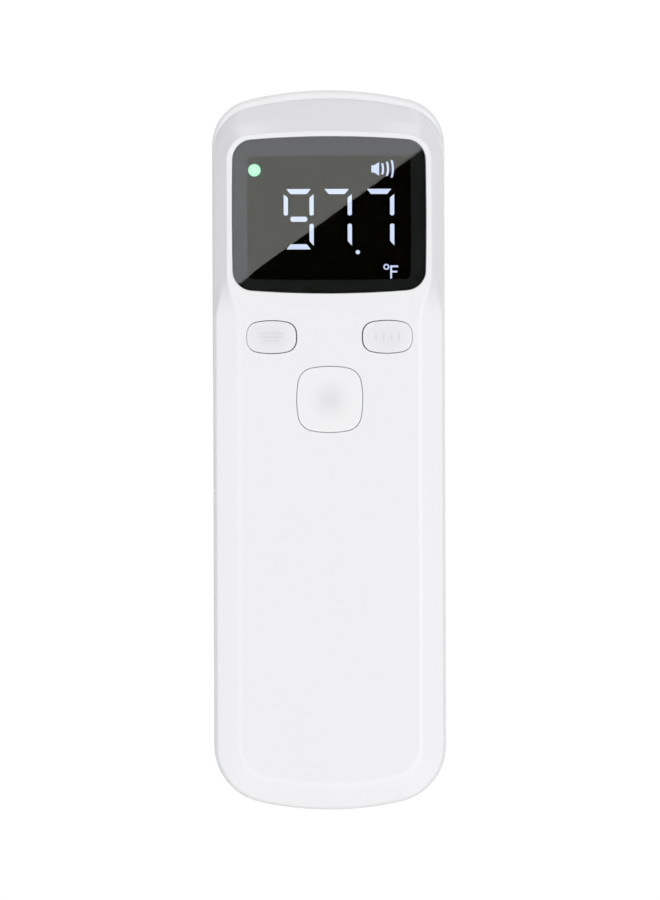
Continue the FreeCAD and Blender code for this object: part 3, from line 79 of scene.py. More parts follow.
# Outline: arc and corner radii at both ends, and the rear shell's flare round its top.
END_RADIUS, END_CORNER = 66.0, 12.0
TOP_RADIUS, TOP_CORNER = 72.0, 9.5
FACET_RADIUS = TOP_RADIUS + 12
SHOULDER_RADIUS = TOP_RADIUS + 60
TOP_FLARE, FLARE_DEPTH = 1.7, 0.8

# Front facets: side depth, shoulder, step at the seam, panel, and the land round the window.
SIDE_Y = -15.2
SHOULDER_DROP, SHOULDER_EDGE = 1.4, 0.38
SEAM_STEP = 0.15
PANEL_INSET = 5.3
LAND_WIDTH, LAND_TOP = 1.05, 140.3
PANEL_CREASE, HEAD_CREASE = 0.75, 0.3

# Heights between which the panel turns into the land, and the handle's back into the head's.
TURN_LOW, TURN_HIGH = 101.0, 110.5
BEND_LOW, BEND_HIGH = 80.0, 108.0
BACK_ROUND = 8.0

# Window: radii of its upper and lower bow, side bow and corner, and its seat in the front shell.
WINDOW_RADII = (206.0, 600.0, 4.2)
WINDOW_MIDDLE = ((WINDOW_LOW.x + WINDOW_HIGH.x) / 2, (WINDOW_LOW.z + WINDOW_HIGH.z) / 2)
WINDOW_HALF = ((WINDOW_HIGH.x - WINDOW_LOW.x) / 2, (WINDOW_HIGH.z - WINDOW_LOW.z) / 2)
SEAT_GAP, SEAT_STEP, SEAT_DEPTH = 0.03, 2.0, 1.5
GLASS_EDGE, GLASS_GAP = 0.08, 0.03

# Buttons: radii of each cap's outline (upper and lower bow, side bow, corner), gap round a cap,
# sideways shift of the small buttons' holes, flange, rounded edge, and the engraved marks.
CAP_RADII = {
    "scan_button": (20.0, 20.0, 3.4),
    "left_button": (16.0, 9.0, 2.4),
    "right_button": (16.0, 9.0, 2.4),
}
KEY_GAP, KEY_SHIFT = 0.11, 0.08
KEY_FLANGE, FLANGE_THICK, STOP_GAP = 0.8, 0.8, 0.18
CAP_EDGE = 0.14
MARK_DEPTH, MARK_REACH, MARK_HALF = 0.13, 3.1, 0.17

# Posts, bosses, screw heads and the nozzle. EMBED is how far an added form reaches into a wall.
POST_RADIUS, BOSS_RADIUS = 2.0, 3.2
BOSS_Y = GRIP_Y - 5
HEAD_RADIUS = (node_box("sensor_screws")[1].z - node_box("sensor_screws")[0].z) / 2
NOZZLE_BORE, NOZZLE_FOOT, SENSOR_BORE = 11.2, 6.8, 5.2
EMBED = 0.3

# Battery cover: its rails, tongues, lips and grooves, and the sound holes above it.
COVER_TOP = COVER_HIGH.z - 2.6
COVER_GAP = 0.2
RUN_LOW, RUN_HIGH = 16, 60
RAIL_INNER, RAIL_WEB, RAIL_OUTER = 18.2, 19.4, 21.2
RAIL_FACE, RAIL_BACK = -8.9, -7.9
TONGUE_INNER = 19.7
LIP_INNER, LIP_OUTER = 9.3, 12.8
GROOVES, GROOVE_PITCH, GROOVE_DROP = 5, 2.2, 8.5
GROOVE_LONG, GROOVE_HIGH = 7.5, 0.5
SOUND_PITCH, SOUND_RADIUS, SOUND_Z = 3.2, 0.8, BEND_LOW - 4

# Length of the copper-coloured end of a cell's jacket.
COPPER_BAND = 11.5

# How finely outlines are divided: the case's end arcs, corners and sides, each bow or corner of a
# window or cap, each end of a slot, and each rounded crease.
ARC_STEPS, CORNER_STEPS, SIDE_STEPS = 10, 12, 96
CUSHION_STEPS = 12
SLOT_STEPS = 6
CREASE_STEPS = 4


# ---------------------------------------------------------------- outlines

def smooth(share):
    """Eases from 0 to 1."""
    share = min(1.0, max(0.0, share))
    return share * share * (3 - 2 * share)


def case_loop(low, high):
    """Outline of the case as (x, z) points, from the lower middle up the right and down the left.

    low and high are (half width, end, end radius, corner radius) of the lower and upper part.
    """
    half, base, end_arc, corner = low
    head_half, top, top_arc, top_corner = high
    tilt = math.asin((half - corner) / (end_arc - corner))
    head_tilt = math.asin((head_half - top_corner) / (top_arc - top_corner))
    corner_z = base + end_arc - (end_arc - corner) * math.cos(tilt)
    head_z = top - top_arc + (top_arc - top_corner) * math.cos(head_tilt)
    right = []
    for i in range(ARC_STEPS):
        angle = tilt * i / ARC_STEPS
        right.append((end_arc * math.sin(angle), base + end_arc - end_arc * math.cos(angle)))
    for i in range(CORNER_STEPS):
        angle = tilt + (math.pi / 2 - tilt) * i / CORNER_STEPS
        right.append((half - corner + corner * math.sin(angle), corner_z - corner * math.cos(angle)))
    for i in range(SIDE_STEPS):
        z = corner_z + (head_z - corner_z) * i / SIDE_STEPS
        turn = smooth((z - TURN_LOW) / (TURN_HIGH - TURN_LOW))
        right.append((half + (head_half - half) * turn, z))
    for i in range(CORNER_STEPS):
        angle = (math.pi / 2 - head_tilt) * i / CORNER_STEPS
        x = head_half - top_corner + top_corner * math.cos(angle)
        right.append((x, head_z + top_corner * math.sin(angle)))
    for i in range(ARC_STEPS + 1):
        angle = head_tilt * (ARC_STEPS - i) / ARC_STEPS
        right.append((top_arc * math.sin(angle), top - top_arc + top_arc * math.cos(angle)))
    return right + [(-x, z) for x, z in right[-2:0:-1]]


def circle_meet(first, first_radius, second, second_radius):
    """The upper right meeting point of two circles."""
    gap = math.dist(first, second)
    along = (first_radius ** 2 - second_radius ** 2 + gap ** 2) / (2 * gap)
    off = math.sqrt(first_radius ** 2 - along ** 2)
    ux, uz = (second[0] - first[0]) / gap, (second[1] - first[1]) / gap
    foot = (first[0] + along * ux, first[1] + along * uz)
    options = [(foot[0] - side * off * uz, foot[1] + side * off * ux) for side in (-1, 1)]
    return max(options, key=sum)


def cushion_loop(middle, half, radii, grow):
    """Outline with four bowed sides and round corners, grown all round, as (x, z) points."""
    steps = CUSHION_STEPS
    half_x, half_z = half[0] + grow, half[1] + grow
    bow, side, corner = (radius + grow for radius in radii)
    dx, dz = half_x - side, half_z - bow
    ux, uz = circle_meet((0, dz), bow - corner, (dx, 0), side - corner)
    side_tilt = math.atan2(uz, ux - dx)
    bow_tilt = math.atan2(uz - dz, ux)
    quarter = []
    for i in range(steps):
        angle = side_tilt * i / steps
        quarter.append((dx + side * math.cos(angle), side * math.sin(angle)))
    for i in range(steps):
        angle = side_tilt + (bow_tilt - side_tilt) * i / steps
        quarter.append((ux + corner * math.cos(angle), uz + corner * math.sin(angle)))
    for i in range(steps + 1):
        angle = bow_tilt + (math.pi / 2 - bow_tilt) * i / steps
        quarter.append((bow * math.cos(angle), dz + bow * math.sin(angle)))
    upper = quarter + [(-x, z) for x, z in quarter[-2::-1]]
    whole = upper + [(x, -z) for x, z in upper[-2:0:-1]]
    return [(middle[0] + x, middle[1] + z) for x, z in whole]


def at_depth(loop, y):
    """Outline points with one depth."""
    return [(x, y, z) for x, z in loop]


# ---------------------------------------------------------------- meshes

def new_piece(name, points, faces, soft_angle=35):
    """A mesh object from points in millimetres, smooth except at edges sharper than the angle."""
    mesh = bpy.data.meshes.new(name)
    mesh.from_pydata([Vector(point) * MM for point in points], [], faces)
    work = bmesh.new()
    work.from_mesh(mesh)
    bmesh.ops.remove_doubles(work, verts=work.verts, dist=1e-7)
    bmesh.ops.recalc_face_normals(work, faces=work.faces)
    work.to_mesh(mesh)
    work.free()
    piece = bpy.data.objects.new(name, mesh)
    bpy.context.scene.collection.objects.link(piece)
    smooth_shading(piece, soft_angle)
    return piece


def smooth_shading(piece, soft_angle):
    """Smooth faces with sharp edges only above an angle."""
    piece.data.shade_smooth()
    piece.data.set_sharp_from_angle(angle=math.radians(soft_angle))


def apply_modifiers(piece):
    """Replace a piece's mesh by its modified mesh."""
    graph = bpy.context.evaluated_depsgraph_get()
    mesh = bpy.data.meshes.new_from_object(piece.evaluated_get(graph))
    piece.modifiers.clear()
    old = piece.data
    piece.data = mesh
    bpy.data.meshes.remove(old)


def carve(piece, cutter, operation="DIFFERENCE"):
    """Combine a piece with a second form and drop the second."""
    modifier = piece.modifiers.new("carve", "BOOLEAN")
    modifier.operation = operation
    modifier.solver = "EXACT"
    modifier.object = cutter
    apply_modifiers(piece)
    bpy.data.objects.remove(cutter)


def soften(piece, width):
    """Round a piece's sharp edges by a width in millimetres."""
    modifier = piece.modifiers.new("soften", "BEVEL")
    modifier.width = width * MM
    modifier.segments = 2
    modifier.limit_method = "ANGLE"
    modifier.angle_limit = math.radians(40)
    modifier.use_clamp_overlap = True
    apply_modifiers(piece)
    smooth_shading(piece, 60)
    weigh_normals(piece)


def weigh_normals(piece):
    """Let large flat faces keep their own shading."""
    modifier = piece.modifiers.new("weigh", "WEIGHTED_NORMAL")
    modifier.mode = "FACE_AREA"
    modifier.weight = 60
    modifier.keep_sharp = True
    apply_modifiers(piece)


def bands(rings, closed=False):
    """Points and four-sided faces between rings of equal length."""
    count = len(rings[0])
    points = [point for ring in rings for point in ring]
    faces = []
    pairs = len(rings) if closed else len(rings) - 1
    for i in range(pairs):
        first, second = i * count, (i + 1) % len(rings) * count
        for j in range(count):
            k = (j + 1) % count
            faces.append((first + j, first + k, second + k, second + j))
    return points, faces


def ladder(start, count):
    """Faces across the inside of a left-right symmetric ring."""
    half = count // 2
    faces = [(start, start + 1, start + count - 1)]
    for i in range(1, half - 1):
        faces.append((start + i, start + i + 1, start + count - i - 1, start + count - i))
    faces.append((start + half - 1, start + half, start + half + 1))
    return faces


def fan(points, start, count, middle):
    """Faces from a ring to one point in its middle."""
    points.append(middle)
    tip = len(points) - 1
    return [(start + i, start + (i + 1) % count, tip) for i in range(count)]


def round_path(corners, setbacks):
    """A path with each inner corner turned into a curve that starts its setback before the corner."""
    path = [corners[0]]
    for before, corner, after, setback in zip(corners, corners[1:], corners[2:], setbacks):
        back, onward = before - corner, after - corner
        near = corner + back.normalized() * min(setback, back.length * 0.48)
        far = corner + onward.normalized() * min(setback, onward.length * 0.48)
        for i in range(CREASE_STEPS + 1):
            t = i / CREASE_STEPS
            path.append(near * (1 - t) ** 2 + corner * 2 * t * (1 - t) + far * t ** 2)
    path.append(corners[-1])
    return path


def solids(name, pairs):
    """Separate straight forms in one piece, each between two equal rings of points."""
    points, faces = [], []
    for pair in pairs:
        start, count = len(points), len(pair[0])
        own_points, own_faces = bands(list(pair))
        own_faces += [tuple(range(count)), tuple(range(2 * count - 1, count - 1, -1))]
        points += own_points
        faces += [tuple(start + i for i in face) for face in own_faces]
    return new_piece(name, points, faces)


def along_y(loop, low_y, high_y):
    """Two rings of one outline at two depths."""
    return at_depth(loop, low_y), at_depth(loop, high_y)


def prism(name, loop, low_y, high_y):
    """A straight form between two depths."""
    return solids(name, [along_y(loop, low_y, high_y)])


def disc_loop(middle, radius, count=48):
    """A circle as (x, z) points."""
    x, z = middle
    turn = 2 * math.pi / count
    return [(x + radius * math.cos(i * turn), z + radius * math.sin(i * turn)) for i in range(count)]


def box_loop(low, high):
    """A rectangle as (x, z) points."""
    return [(low[0], low[1]), (high[0], low[1]), (high[0], high[1]), (low[0], high[1])]


def slot_loop(middle, half_long, half_high):
    """A level slot with round ends as (x, z) points."""
    points = []
    for side in (1, -1):
        for i in range(SLOT_STEPS + 1):
            angle = math.pi * i / SLOT_STEPS - side * math.pi / 2
            x = side * (half_long - half_high) + half_high * math.cos(angle)
            points.append((middle[0] + x, middle[1] + half_high * math.sin(angle)))
    return points


# ---------------------------------------------------------------- case shells

def low_end(inset):
    """Lower part of the case outline, moved inwards."""
    return CASE_HALF - inset, inset, END_RADIUS - inset, END_CORNER - inset


def facet_top(drop):
    """Height of the head's upper facet at a depth below the panel."""
    slope = (CASE_TOP - TOP_FLARE - LAND_TOP) / (PART_Y - FRONT_Y)
    return LAND_TOP + drop * slope


def front_corner_loops():
    """Outlines of the front shell from its rear edge to just inside the panel's crease."""
    def loop(inset, top):
        return case_loop(low_end(inset), (CASE_HALF - inset, top - inset, TOP_RADIUS, TOP_CORNER))

    land_half = WINDOW_HIGH.x + LAND_WIDTH
    top = CASE_TOP - TOP_FLARE
    bow, _, corner = WINDOW_RADII
    side = case_loop(
        low_end(SEAM_STEP),
        (CASE_HALF - SEAM_STEP, facet_top(SIDE_Y - FRONT_Y), FACET_RADIUS, TOP_CORNER - 1),
    )
    shoulder = case_loop(
        low_end(SHOULDER_EDGE),
        (land_half + SHOULDER_DROP * 0.75, facet_top(SHOULDER_DROP), SHOULDER_RADIUS, TOP_CORNER - 2.8),
    )
    panel = case_loop(low_end(PANEL_INSET), (land_half, LAND_TOP, bow + LAND_WIDTH, corner + LAND_WIDTH))
    inner = case_loop(
        low_end(PANEL_INSET + 1.6), (land_half - 0.5, LAND_TOP - 0.5, bow + 0.5, corner + 0.5)
    )
    return [
        at_depth(loop(SEAM_STEP + 0.2, top), PART_Y), at_depth(loop(SEAM_STEP, top), PART_Y - 0.25),
        at_depth(side, SIDE_Y), at_depth(shoulder, FRONT_Y + SHOULDER_DROP),
        at_depth(panel, FRONT_Y), at_depth(inner, FRONT_Y),
    ]


def front_outer_rings():
    """Rings from the parting plane to the panel, with soft creases."""
    loops = front_corner_loops()
    paths = []
    for corners in zip(*loops):
        points = [Vector(corner) for corner in corners]
        head = smooth((points[0].z - TURN_LOW) / (TURN_HIGH - TURN_LOW))
        crease = PANEL_CREASE * (1 - head) + HEAD_CREASE * head
        paths.append(round_path(points, (0.12, 0.7, 0.55, crease)))
    return [list(ring) for ring in zip(*paths)]


def front_inner_rings():
    """Rings of the inside of the front shell, from the parting plane to the floor."""
    def loop(inset, top, corner):
        return case_loop(low_end(inset), (CASE_HALF - inset, top, FACET_RADIUS, corner))

    wide = loop(WALL, LAND_TOP + 0.9, TOP_CORNER - 3)
    narrow = loop(WALL + 1.2, LAND_TOP - 0.6, TOP_CORNER - 4)
    return [
        at_depth(wide, PART_Y), at_depth(wide, SIDE_Y),
        at_depth(narrow, SIDE_Y - 0.5), at_depth(narrow, FRONT_Y + FRONT_WALL),
    ]


def shell_piece(name, outer, inner):
    """A closed shell between an outer and an inner run of rings that start at the parting plane."""
    rings = outer[::-1] + inner
    points, faces = bands(rings)
    count = len(outer[0])
    faces += ladder(0, count)
    faces += ladder((len(rings) - 1) * count, count)
    return new_piece(name, points, faces)


def front_fittings():
    """Screw posts and the two L-shaped cover rails inside the front shell."""
    floor_y = FRONT_Y + FRONT_WALL - 0.4
    tray_y = node_box("battery_tray")[0].y
    board_y = node_box("main_board")[0].y
    pairs = []
    for label, end in (("tray_screws", tray_y), ("board_screws", board_y), ("case_screws", BOSS_Y)):
        for middle in screw_middles(label):
            pairs.append(along_y(disc_loop(middle, POST_RADIUS, 32), floor_y, end))
    for side in (-1, 1):
        section = [
            (RAIL_INNER, floor_y), (RAIL_WEB, floor_y), (RAIL_WEB, RAIL_FACE),
            (RAIL_OUTER, RAIL_FACE), (RAIL_OUTER, RAIL_BACK), (RAIL_INNER, RAIL_BACK),
        ]
        pairs.append(tuple([(side * x, y, z) for x, y in section] for z in (RUN_LOW, RUN_HIGH)))
    return solids("fittings", pairs)


def screw_middles(label):
    """Where the screws of a left-right symmetric set stand, as (x, z) points."""
    low, high = node_box(label)
    heights = sorted({round(low.z + HEAD_RADIUS, 3), round(high.z - HEAD_RADIUS, 3)})
    return [(side * (high.x - HEAD_RADIUS), z) for z in heights for side in (-1, 1)]


def front_skin():
    """Front shell with the window seat and the three button holes."""
    piece = shell_piece("front_skin", front_outer_rings(), front_inner_rings())
    carve(piece, front_fittings(), "UNION")
    through = FRONT_Y + FRONT_WALL + 1
    front = FRONT_Y - 1
    carve(piece, prism("opening", window_loop(-SEAT_STEP), front, through))
    soften(piece, 0.16)
    carve(piece, prism("seat", window_loop(SEAT_GAP), front, FRONT_Y + SEAT_DEPTH))
    for name, shift in (("scan_button", 0), ("left_button", KEY_SHIFT), ("right_button", -KEY_SHIFT)):
        hole = [(x + shift, z) for x, z in button_loop(name, KEY_GAP + abs(shift) / 2)]
        carve(piece, prism("hole", hole, front, through))
    soften(piece, 0.07)
    return piece


def back_depth(z):
    """Depth of the rear face at a height: handle, bend and head."""
    rise, run = BEND_HIGH - BEND_LOW, HEAD_Y - GRIP_Y
    radius = (rise ** 2 + run ** 2) / (4 * run)
    if z <= BEND_LOW:
        return GRIP_Y
    if z >= BEND_HIGH:
        return HEAD_Y
    if z <= (BEND_LOW + BEND_HIGH) / 2:
        return GRIP_Y + radius - math.sqrt(radius ** 2 - (z - BEND_LOW) ** 2)
    return HEAD_Y - radius + math.sqrt(radius ** 2 - (BEND_HIGH - z) ** 2)


def rear_rings(inset):
    """Rings of the rear half from the parting plane to the back, moved inwards by inset."""
    def loop(extra, top):
        whole = inset + extra
        high = (CASE_HALF - whole, top - whole, TOP_RADIUS - whole, TOP_CORNER - whole)
        return case_loop(low_end(whole), high)

    rings = []
    flare_steps = 8
    for i in range(flare_steps + 1):
        angle = math.pi / 2 * i / flare_steps
        top = CASE_TOP - TOP_FLARE * (1 - math.sin(angle))
        rings.append(at_depth(loop(0, top), REAR_Y + FLARE_DEPTH * (1 - math.cos(angle))))
    radius = BACK_ROUND - inset
    steps = 12
    for i in range(steps + 1):
        angle = math.pi / 2 * i / steps
        extra = radius * (1 - math.cos(angle)) * 0.999
        drop = radius * (1 - math.sin(angle))
        rings.append([(x, back_depth(z) - inset - drop, z) for x, z in loop(extra, CASE_TOP)])
    return rings


def rear_form(name):
    """The whole hollow rear half."""
    return shell_piece(name, rear_rings(0), rear_rings(WALL))


def zone(low_z, high_z):
    """A block across the whole case between two heights."""
    reach = 2 * CASE_HALF
    return prism("zone", box_loop((-reach, low_z), (reach, high_z)), -reach, reach)


def rear_skin():
    """Rear shell with the nozzle bore, screw bosses and recesses, sensor posts and sound holes."""
    piece = rear_form("rear_skin")
    carve(piece, zone(-10, COVER_TOP + COVER_GAP))
    sensor_y = node_box("sensor_board")[1].y
    pairs = []
    for middle in screw_middles("case_screws"):
        pairs.append(along_y(disc_loop(middle, BOSS_RADIUS), BOSS_Y, GRIP_Y - WALL + EMBED))
    for middle in screw_middles("sensor_screws"):
        pairs.append(along_y(disc_loop(middle, POST_RADIUS + 0.2, 32), sensor_y, HEAD_Y - WALL + EMBED))
    carve(piece, solids("bosses", pairs), "UNION")
    nozzle = node_middle("sensor_nozzle")
    carve(piece, prism("bore", disc_loop((nozzle.x, nozzle.z), NOZZLE_BORE, 96), HEAD_Y - 4, HEAD_Y + 1))
    for middle in screw_middles("case_screws"):
        carve(piece, prism("recess", disc_loop(middle, HEAD_RADIUS + 0.4), GRIP_Y - WALL - 0.8, GRIP_Y + 1))
    for i in range(-2, 3):
        hole = disc_loop((i * SOUND_PITCH, SOUND_Z), SOUND_RADIUS, 32)
        carve(piece, prism("sound", hole, GRIP_Y - 3, GRIP_Y + 1))
    soften(piece, 0.18)
    return piece


def cover_skin():
    """Battery cover with its grip grooves, side tongues and top lips."""
    piece = rear_form("cover_skin")
    carve(piece, zone(-10, COVER_TOP), "INTERSECT")
    pairs = []
    for side in (-1, 1):
        inner, outer = sorted((side * TONGUE_INNER, side * (CASE_HALF - WALL + EMBED)))
        pairs.append(along_y(box_loop((inner, RUN_LOW), (outer, RUN_HIGH)), PART_Y + 0.4, PART_Y + 1.8))
        inner, outer = sorted((side * LIP_INNER, side * LIP_OUTER))
        lip = [
            (0, COVER_TOP - 4), (1.3, COVER_TOP - 4), (1.3, COVER_TOP - 1),
            (0.8, COVER_TOP - 0.6), (0.8, COVER_HIGH.z), (0, COVER_HIGH.z),
        ]
        pairs.append(tuple([(x, y, z) for y, z in lip] for x in (inner, outer)))
    carve(piece, solids("runners", pairs), "UNION")
    for i in range(GROOVES):
        groove = slot_loop((0, COVER_TOP - GROOVE_DROP - i * GROOVE_PITCH), GROOVE_LONG, GROOVE_HIGH)
        carve(piece, prism("groove", groove, GRIP_Y - 0.5, GRIP_Y + 1))
    soften(piece, 0.18)
    return piece


# ---------------------------------------------------------------- window and buttons

def window_loop(grow):
    """Outline of the window, grown all round."""
    return cushion_loop(WINDOW_MIDDLE, WINDOW_HALF, WINDOW_RADII, grow)


def cap_half(name):
    """Half width and half height of a cap, from its node, which has a flange all round."""
    low, high = node_box(name)
    return (high.x - low.x) / 2 - KEY_FLANGE, (high.z - low.z) / 2 - KEY_FLANGE


def button_loop(name, grow):
    """Outline of a button's cap, grown all round."""
    middle = node_middle(name)
    return cushion_loop((middle.x, middle.z), cap_half(name), CAP_RADII[name], grow)


def window_glass():
    """Window plate with polished, slightly broken edges, a hair off the print behind it."""
    edge, front, back = GLASS_EDGE, WINDOW_LOW.y, WINDOW_HIGH.y - GLASS_GAP
    rings = [
        at_depth(window_loop(-edge), back), at_depth(window_loop(0), back - edge),
        at_depth(window_loop(0), front + edge), at_depth(window_loop(-edge * 0.3), front + edge * 0.3),
        at_depth(window_loop(-edge), front),
    ]
    points, faces = bands(rings)
    count = len(rings[0])
    faces += [tuple(range(count)), tuple(range(len(points) - 1, len(points) - count - 1, -1))]
    piece = new_piece("window_glass", points, faces, 60)
    weigh_normals(piece)
    return piece


def cap_piece(name, dish_radius, dish_depth, marks):
    """Button cap: flange, straight wall, rounded edge, a face that may be dished, and engraved marks."""
    middle = node_middle(name)
    stop_y = FRONT_Y + FRONT_WALL + STOP_GAP
    flange, wall = button_loop(name, KEY_FLANGE), button_loop(name, 0)
    rings = [
        at_depth(flange, stop_y + FLANGE_THICK), at_depth(flange, stop_y),
        at_depth(wall, stop_y), at_depth(wall, FRONT_Y + CAP_EDGE),
    ]
    edge_steps = 5
    for i in range(1, edge_steps + 1):
        angle = math.pi / 2 * i / edge_steps
        inset = CAP_EDGE * (1 - math.cos(angle))
        rings.append(at_depth(button_loop(name, -inset), FRONT_Y + CAP_EDGE * (1 - math.sin(angle))))
    rim = button_loop(name, -CAP_EDGE)
    steps = 14 if dish_depth else 3
    for i in range(1, steps):
        share = 1 - i / steps
        ring = []
        for x, z in rim:
            dx, dz = (x - middle.x) * share, (z - middle.z) * share
            reach = math.hypot(dx, dz) / dish_radius
            depth = dish_depth * (1 - smooth(reach))
            ring.append((middle.x + dx, FRONT_Y + depth, middle.z + dz))
        rings.append(ring)
    points, faces = bands(rings)
    count = len(rings[0])
    faces.append(tuple(range(count)))
    faces += fan(points, (len(rings) - 1) * count, count, (middle.x, FRONT_Y + dish_depth, middle.z))
    piece = new_piece(name.replace("button", "cap"), points, faces, 50)
    if marks:
        placed = [[(middle.x + x, middle.z + z) for x, z in loop] for loop in marks]
        carve(piece, solids("marks", [along_y(loop, FRONT_Y - 0.5, FRONT_Y + MARK_DEPTH) for loop in placed]))
        smooth_shading(piece, 30)
    weigh_normals(piece)
    return piece


def bar_marks():
    """Three level bars of different lengths, a sign for stored readings."""
    return [slot_loop((0, z), half, MARK_HALF) for z, half in ((0.75, 2.6), (0, 2.6), (-0.75, 1.7))]


def level_marks():
    """Four upright bars of different heights, a sign for changing a setting."""
    marks = []
    for x, half in ((-2.4, 0.6), (-0.8, 0.95), (0.8, 0.6), (2.4, 0.95)):
        marks.append([(x + across, up) for up, across in slot_loop((0, 0), half, MARK_HALF)])
    return marks


# ---------------------------------------------------------------- nozzle

def lathe(name, section, middle):
    """A turned ring about an axis along Y: section is a closed run of (y, radius) points."""
    rings = []
    for y, radius in section:
        rings.append(at_depth(disc_loop(middle, radius, 96), y))
    points, faces = bands(rings, closed=True)
    return new_piece(name, points, faces, 40)


def nozzle_cone():
    """Ring round the sensor with a rounded rim and a smooth inner cone."""
    middle = node_middle("sensor_nozzle")
    outer = (NOZZLE_HIGH.x - NOZZLE_LOW.x) / 2
    rim, root = NOZZLE_HIGH.y, NOZZLE_LOW.y
    corners = [Vector(corner) for corner in (
        (HEAD_Y, outer - 3), (HEAD_Y, outer), (rim, outer - 0.5), (rim, outer - 2.4),
        (rim - 1.4, outer - 3.1), (root + 1.6, SENSOR_BORE), (root, SENSOR_BORE),
        (root, NOZZLE_FOOT), (root + 2, NOZZLE_FOOT), (HEAD_Y - WALL, NOZZLE_BORE - 0.1),
    )]
    setbacks = (0.2, 0.2, 0.25, 0.9, 0.8, 0.8, 0.5, 0.2, 0.2, 0.5, 0.3)
    path = round_path([corners[-1]] + corners + [corners[0]], setbacks)
    section = [(point.x, point.y) for point in path]
    return lathe("nozzle_cone", section[1:-1], (middle.x, middle.z))


# ---------------------------------------------------------------- materials

class Nodes:
    """Short-hand for building one material's nodes."""

    def __init__(self, name):
        self.material = bpy.data.materials.new(name)
        self.material.use_nodes = True
        self.tree = self.material.node_tree
        self.shader = self.tree.nodes["Principled BSDF"]
        self.place = self.add("ShaderNodeTexCoord").outputs["Object"]

    def add(self, kind, **values):
        """A node with its plain properties set."""
        item = self.tree.nodes.new(kind)
        for name, value in values.items():
            setattr(item, name, value)
        return item

    def link(self, start, end):
        """Join two sockets."""
        self.tree.links.new(start, end)

    def feed(self, socket, value):
        """Join a value to one of the shader's sockets."""
        self.link(value, self.shader.inputs[socket])

    def noise(self, scale, detail=2.0, roughness=0.5, stretch=(1, 1, 1)):
        """Noise in object space: scale is in features a metre."""
        item = self.add("ShaderNodeTexNoise")
        item.inputs["Scale"].default_value = scale
        item.inputs["Detail"].default_value = detail
        item.inputs["Roughness"].default_value = roughness
        if stretch != (1, 1, 1):
            mapping = self.add("ShaderNodeMapping")
            mapping.inputs["Scale"].default_value = stretch
            self.link(self.place, mapping.inputs["Vector"])
            self.link(mapping.outputs["Vector"], item.inputs["Vector"])
        else:
            self.link(self.place, item.inputs["Vector"])
        return item.outputs["Fac"]

    def between(self, factor, low, high, start=0.3, end=0.7):
        """A value that runs from low to high as the factor runs from start to end."""
        item = self.add("ShaderNodeMapRange")
        item.inputs["From Min"].default_value = start
        item.inputs["From Max"].default_value = end
        item.inputs["To Min"].default_value = low
        item.inputs["To Max"].default_value = high
        self.link(factor, item.inputs["Value"])
        return item.outputs["Result"]

    def blend(self, factor, first, second, start=0.3, end=0.7):
        """A colour that runs from first to second."""
        item = self.add("ShaderNodeValToRGB")
        item.color_ramp.elements[0].position = start
        item.color_ramp.elements[0].color = (*first, 1)
        item.color_ramp.elements[1].position = end
        item.color_ramp.elements[1].color = (*second, 1)
        self.link(factor, item.inputs["Fac"])
        return item.outputs["Color"]

    def bump(self, height, depth):
        """Surface relief: depth is in millimetres."""
        item = self.add("ShaderNodeBump")
        item.inputs["Strength"].default_value = 1.0
        item.inputs["Distance"].default_value = depth * MM
        self.link(height, item.inputs["Height"])
        self.feed("Normal", item.outputs["Normal"])

    def reach(self, middle):
        """Distance in metres from a point given in millimetres."""
        item = self.add("ShaderNodeVectorMath", operation="DISTANCE")
        self.link(self.place, item.inputs[0])
        item.inputs[1].default_value = Vector(middle) * MM
        return item.outputs["Value"]

    def mixed(self, factor, first, second):
        """A colour between two colour sockets. A Mix node's colour inputs are 6 and 7, its output 2."""
        item = self.add("ShaderNodeMix", data_type="RGBA")
        self.link(factor, item.inputs["Factor"])
        self.link(first, item.inputs[6])
        self.link(second, item.inputs[7])
        return item.outputs[2]

    def coordinate(self, axis):
        """One coordinate of the place, in metres."""
        item = self.add("ShaderNodeSeparateXYZ")
        self.link(self.place, item.inputs["Vector"])
        return item.outputs[axis]

    def set(self, **values):
        """Constants on the shader, by socket name with _ for a space."""
        for name, value in values.items():
            self.shader.inputs[name.replace("_", " ")].default_value = value


def moulded(name, colour, shade, rough, grain=2400, relief=0.0006, level=0.5, tint=(1, 1, 1)):
    """Moulded plastic: slight colour drift, faintly smudged gloss and a fine surface."""
    made = Nodes(name)
    made.feed("Base Color", made.blend(made.noise(25, 1), shade, colour, 0.2, 0.8))
    made.feed("Roughness", made.between(made.noise(60, 1), rough * 0.96, rough * 1.05, 0.2, 0.8))
    made.bump(made.noise(grain, 2), relief)
    made.set(Specular_IOR_Level=level, Specular_Tint=(*tint, 1))
    return made.material


def grey(level):
    """A very slightly cool grey."""
    return level, level, level + 0.015


